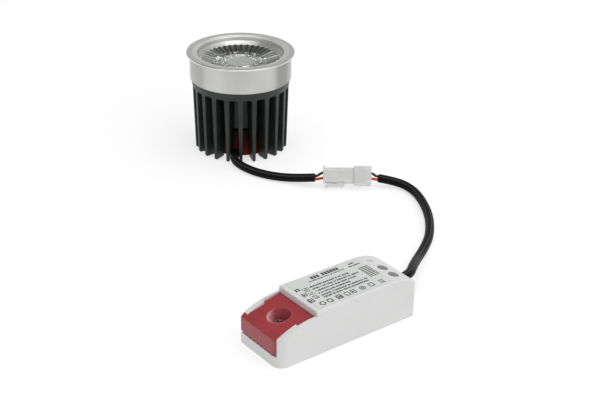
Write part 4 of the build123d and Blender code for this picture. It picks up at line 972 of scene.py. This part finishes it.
def add_ring(made, x, y, radius, line):
    inner = radius - line
    sides = []
    for size, level in (
        (radius, PRINT_LOW), (radius, PRINT_HIGH), (inner, PRINT_HIGH), (inner, PRINT_LOW),
    ):
        turns = [2 * math.pi * i / RING_POINTS for i in range(RING_POINTS)]
        corners = [(x + size * math.cos(turn), y + size * math.sin(turn)) for turn in turns]
        sides.append(print_ring(made, corners, level))
    for low, high in zip(sides, sides[1:] + sides[:1]):
        join_rings(made, low, high)


def draws(state):
    """The same row of numbers from 0 to 1 on every run."""
    while True:
        state = (state * 1103515245 + 12345) % DRAW_RANGE
        yield state / DRAW_RANGE


def pick(stream, low, high):
    return low + (high - low) * next(stream)


def add_dashes(made, stream, start, end, y, height, longest, gap):
    """Row of dashes of drawn lengths, now and then with a wider gap."""
    x = start
    while x < end - LAST_DASH_ROOM:
        length = min(pick(stream, SHORTEST_DASH, longest), end - x)
        add_bar(made, x, y, length, height * pick(stream, LOWEST_DASH, 1.0))
        x += length + (gap if next(stream) < GAPS_IN_WORDS else gap * WORD_GAP)


def add_print():
    made = bmesh.new()
    stream = draws(DRAW_SEED)
    for row in DASHES:
        add_dashes(made, stream, *row)
    for row in BARS:
        add_bar(made, *row)
    for row in FRAMES:
        add_frame(made, *row)
    for row in RINGS:
        add_ring(made, *row)
    mesh = closed_mesh(made, "label_print")
    add_piece("label_print", mesh, finishes["ink_black"])


add_print()


# Floor and light

FLOOR_RADIUS = 6.0
FLOOR_DROP = 0.00005
FLOOR_TINTS = [(0.3, 0.34), (0.7, 0.36)]
FLOOR_GLOW = 0.66

# Brightness of the surroundings by the turn: 0 and 1 behind the camera, 0.25 on the
# picture's right, 0.5 beyond the module and 0.75 on the picture's left
WORLD_TURN = -54.3
WORLD_PANELS = [
    (0.00, 0.60),
    (0.10, 0.62),
    (0.17, 0.30),
    (0.25, 0.55),
    (0.33, 0.95),
    (0.44, 0.75),
    (0.50, 0.62),
    (0.58, 0.72),
    (0.68, 0.95),
    (0.76, 0.55),
    (0.82, 0.28),
    (0.92, 0.62),
    (1.00, 0.60),
]

# The same by height, from the horizon at 0 to overhead at 1
WORLD_HEIGHTS = [
    (0.0, 1.0), (0.42, 1.0), (0.50, 0.85), (0.58, 0.28), (0.84, 0.22), (0.94, 0.7), (1.0, 1.0),
]

# Lamps: azimuth and elevation in degrees, distance and size in metres, power in watts
LAMPS = {
    "overhead": (-60, 78, 1.4, (2.0, 2.0), 18.0),
    "right_panel": (-75, 30, 1.2, (0.9, 0.7), 3.0),
    "left_panel": (-175, 30, 1.3, (0.7, 0.7), 1.0),
}


def add_floor():
    mesh = bpy.data.meshes.new("floor")
    made = bmesh.new()
    bmesh.ops.create_circle(made, cap_ends=True, radius=FLOOR_RADIUS, segments=64)
    made.to_mesh(mesh)
    made.free()
    floor = bpy.data.objects.new("floor", mesh)
    scene.collection.objects.link(floor)
    floor.location.z = -FLOOR_DROP
    material, tree, shader = new_material("floor_white")
    tint = grey_ramp(tree, noise(tree, object_place(tree), 3.0), FLOOR_TINTS)
    tree.links.new(tint, shader.inputs["Base Color"])
    settle(shader, {
        "Roughness": 0.9,
        "Specular IOR Level": 0.1,
        "Emission Color": (1, 1, 1, 1),
        "Emission Strength": FLOOR_GLOW,
    })
    mesh.materials.append(material)


def add_lamp(name, azimuth, elevation, distance, size, power):
    """Soft panel that looks at the middle of the part."""
    data = bpy.data.lights.new(name, "AREA")
    data.shape = "RECTANGLE"
    data.size, data.size_y = size
    data.energy = power
    lamp = bpy.data.objects.new(name, data)
    scene.collection.objects.link(lamp)
    a = math.radians(azimuth)
    e = math.radians(elevation)
    away = Vector((math.cos(a) * math.cos(e), math.sin(a) * math.cos(e), math.sin(e)))
    lamp.location = away * distance
    lamp.rotation_euler = away.to_track_quat("Z", "Y").to_euler()


def add_world():
    """Soft surroundings: a bright panel on each side, darker beside the camera and high up."""
    world = bpy.data.worlds.new("studio")
    scene.world = world
    world.use_nodes = True
    tree = world.node_tree
    tree.nodes.clear()
    output = tree.nodes.new("ShaderNodeOutputWorld")
    background = tree.nodes.new("ShaderNodeBackground")
    tree.links.new(background.outputs["Background"], output.inputs["Surface"])
    coords = tree.nodes.new("ShaderNodeTexCoord")
    turn = tree.nodes.new("ShaderNodeMapping")
    turn.inputs["Rotation"].default_value = (0, 0, math.radians(WORLD_TURN))
    tree.links.new(coords.outputs["Generated"], turn.inputs["Vector"])
    round_about = tree.nodes.new("ShaderNodeTexGradient")
    round_about.gradient_type = "RADIAL"
    tree.links.new(turn.outputs["Vector"], round_about.inputs["Vector"])
    panels = grey_ramp(tree, round_about.outputs["Fac"], WORLD_PANELS)
    split = tree.nodes.new("ShaderNodeSeparateXYZ")
    tree.links.new(coords.outputs["Generated"], split.inputs["Vector"])
    upward = grey_ramp(tree, split.outputs["Z"], WORLD_HEIGHTS)
    tree.links.new(blend(tree, panels, upward), background.inputs["Color"])


add_floor()
add_world()
for lamp_name, lamp_row in LAMPS.items():
    add_lamp(lamp_name, *lamp_row)

scene.view_settings.view_transform = "Standard"
scene.view_settings.look = "None"
scene.view_settings.exposure = 0.0
scene.view_settings.gamma = 1.0
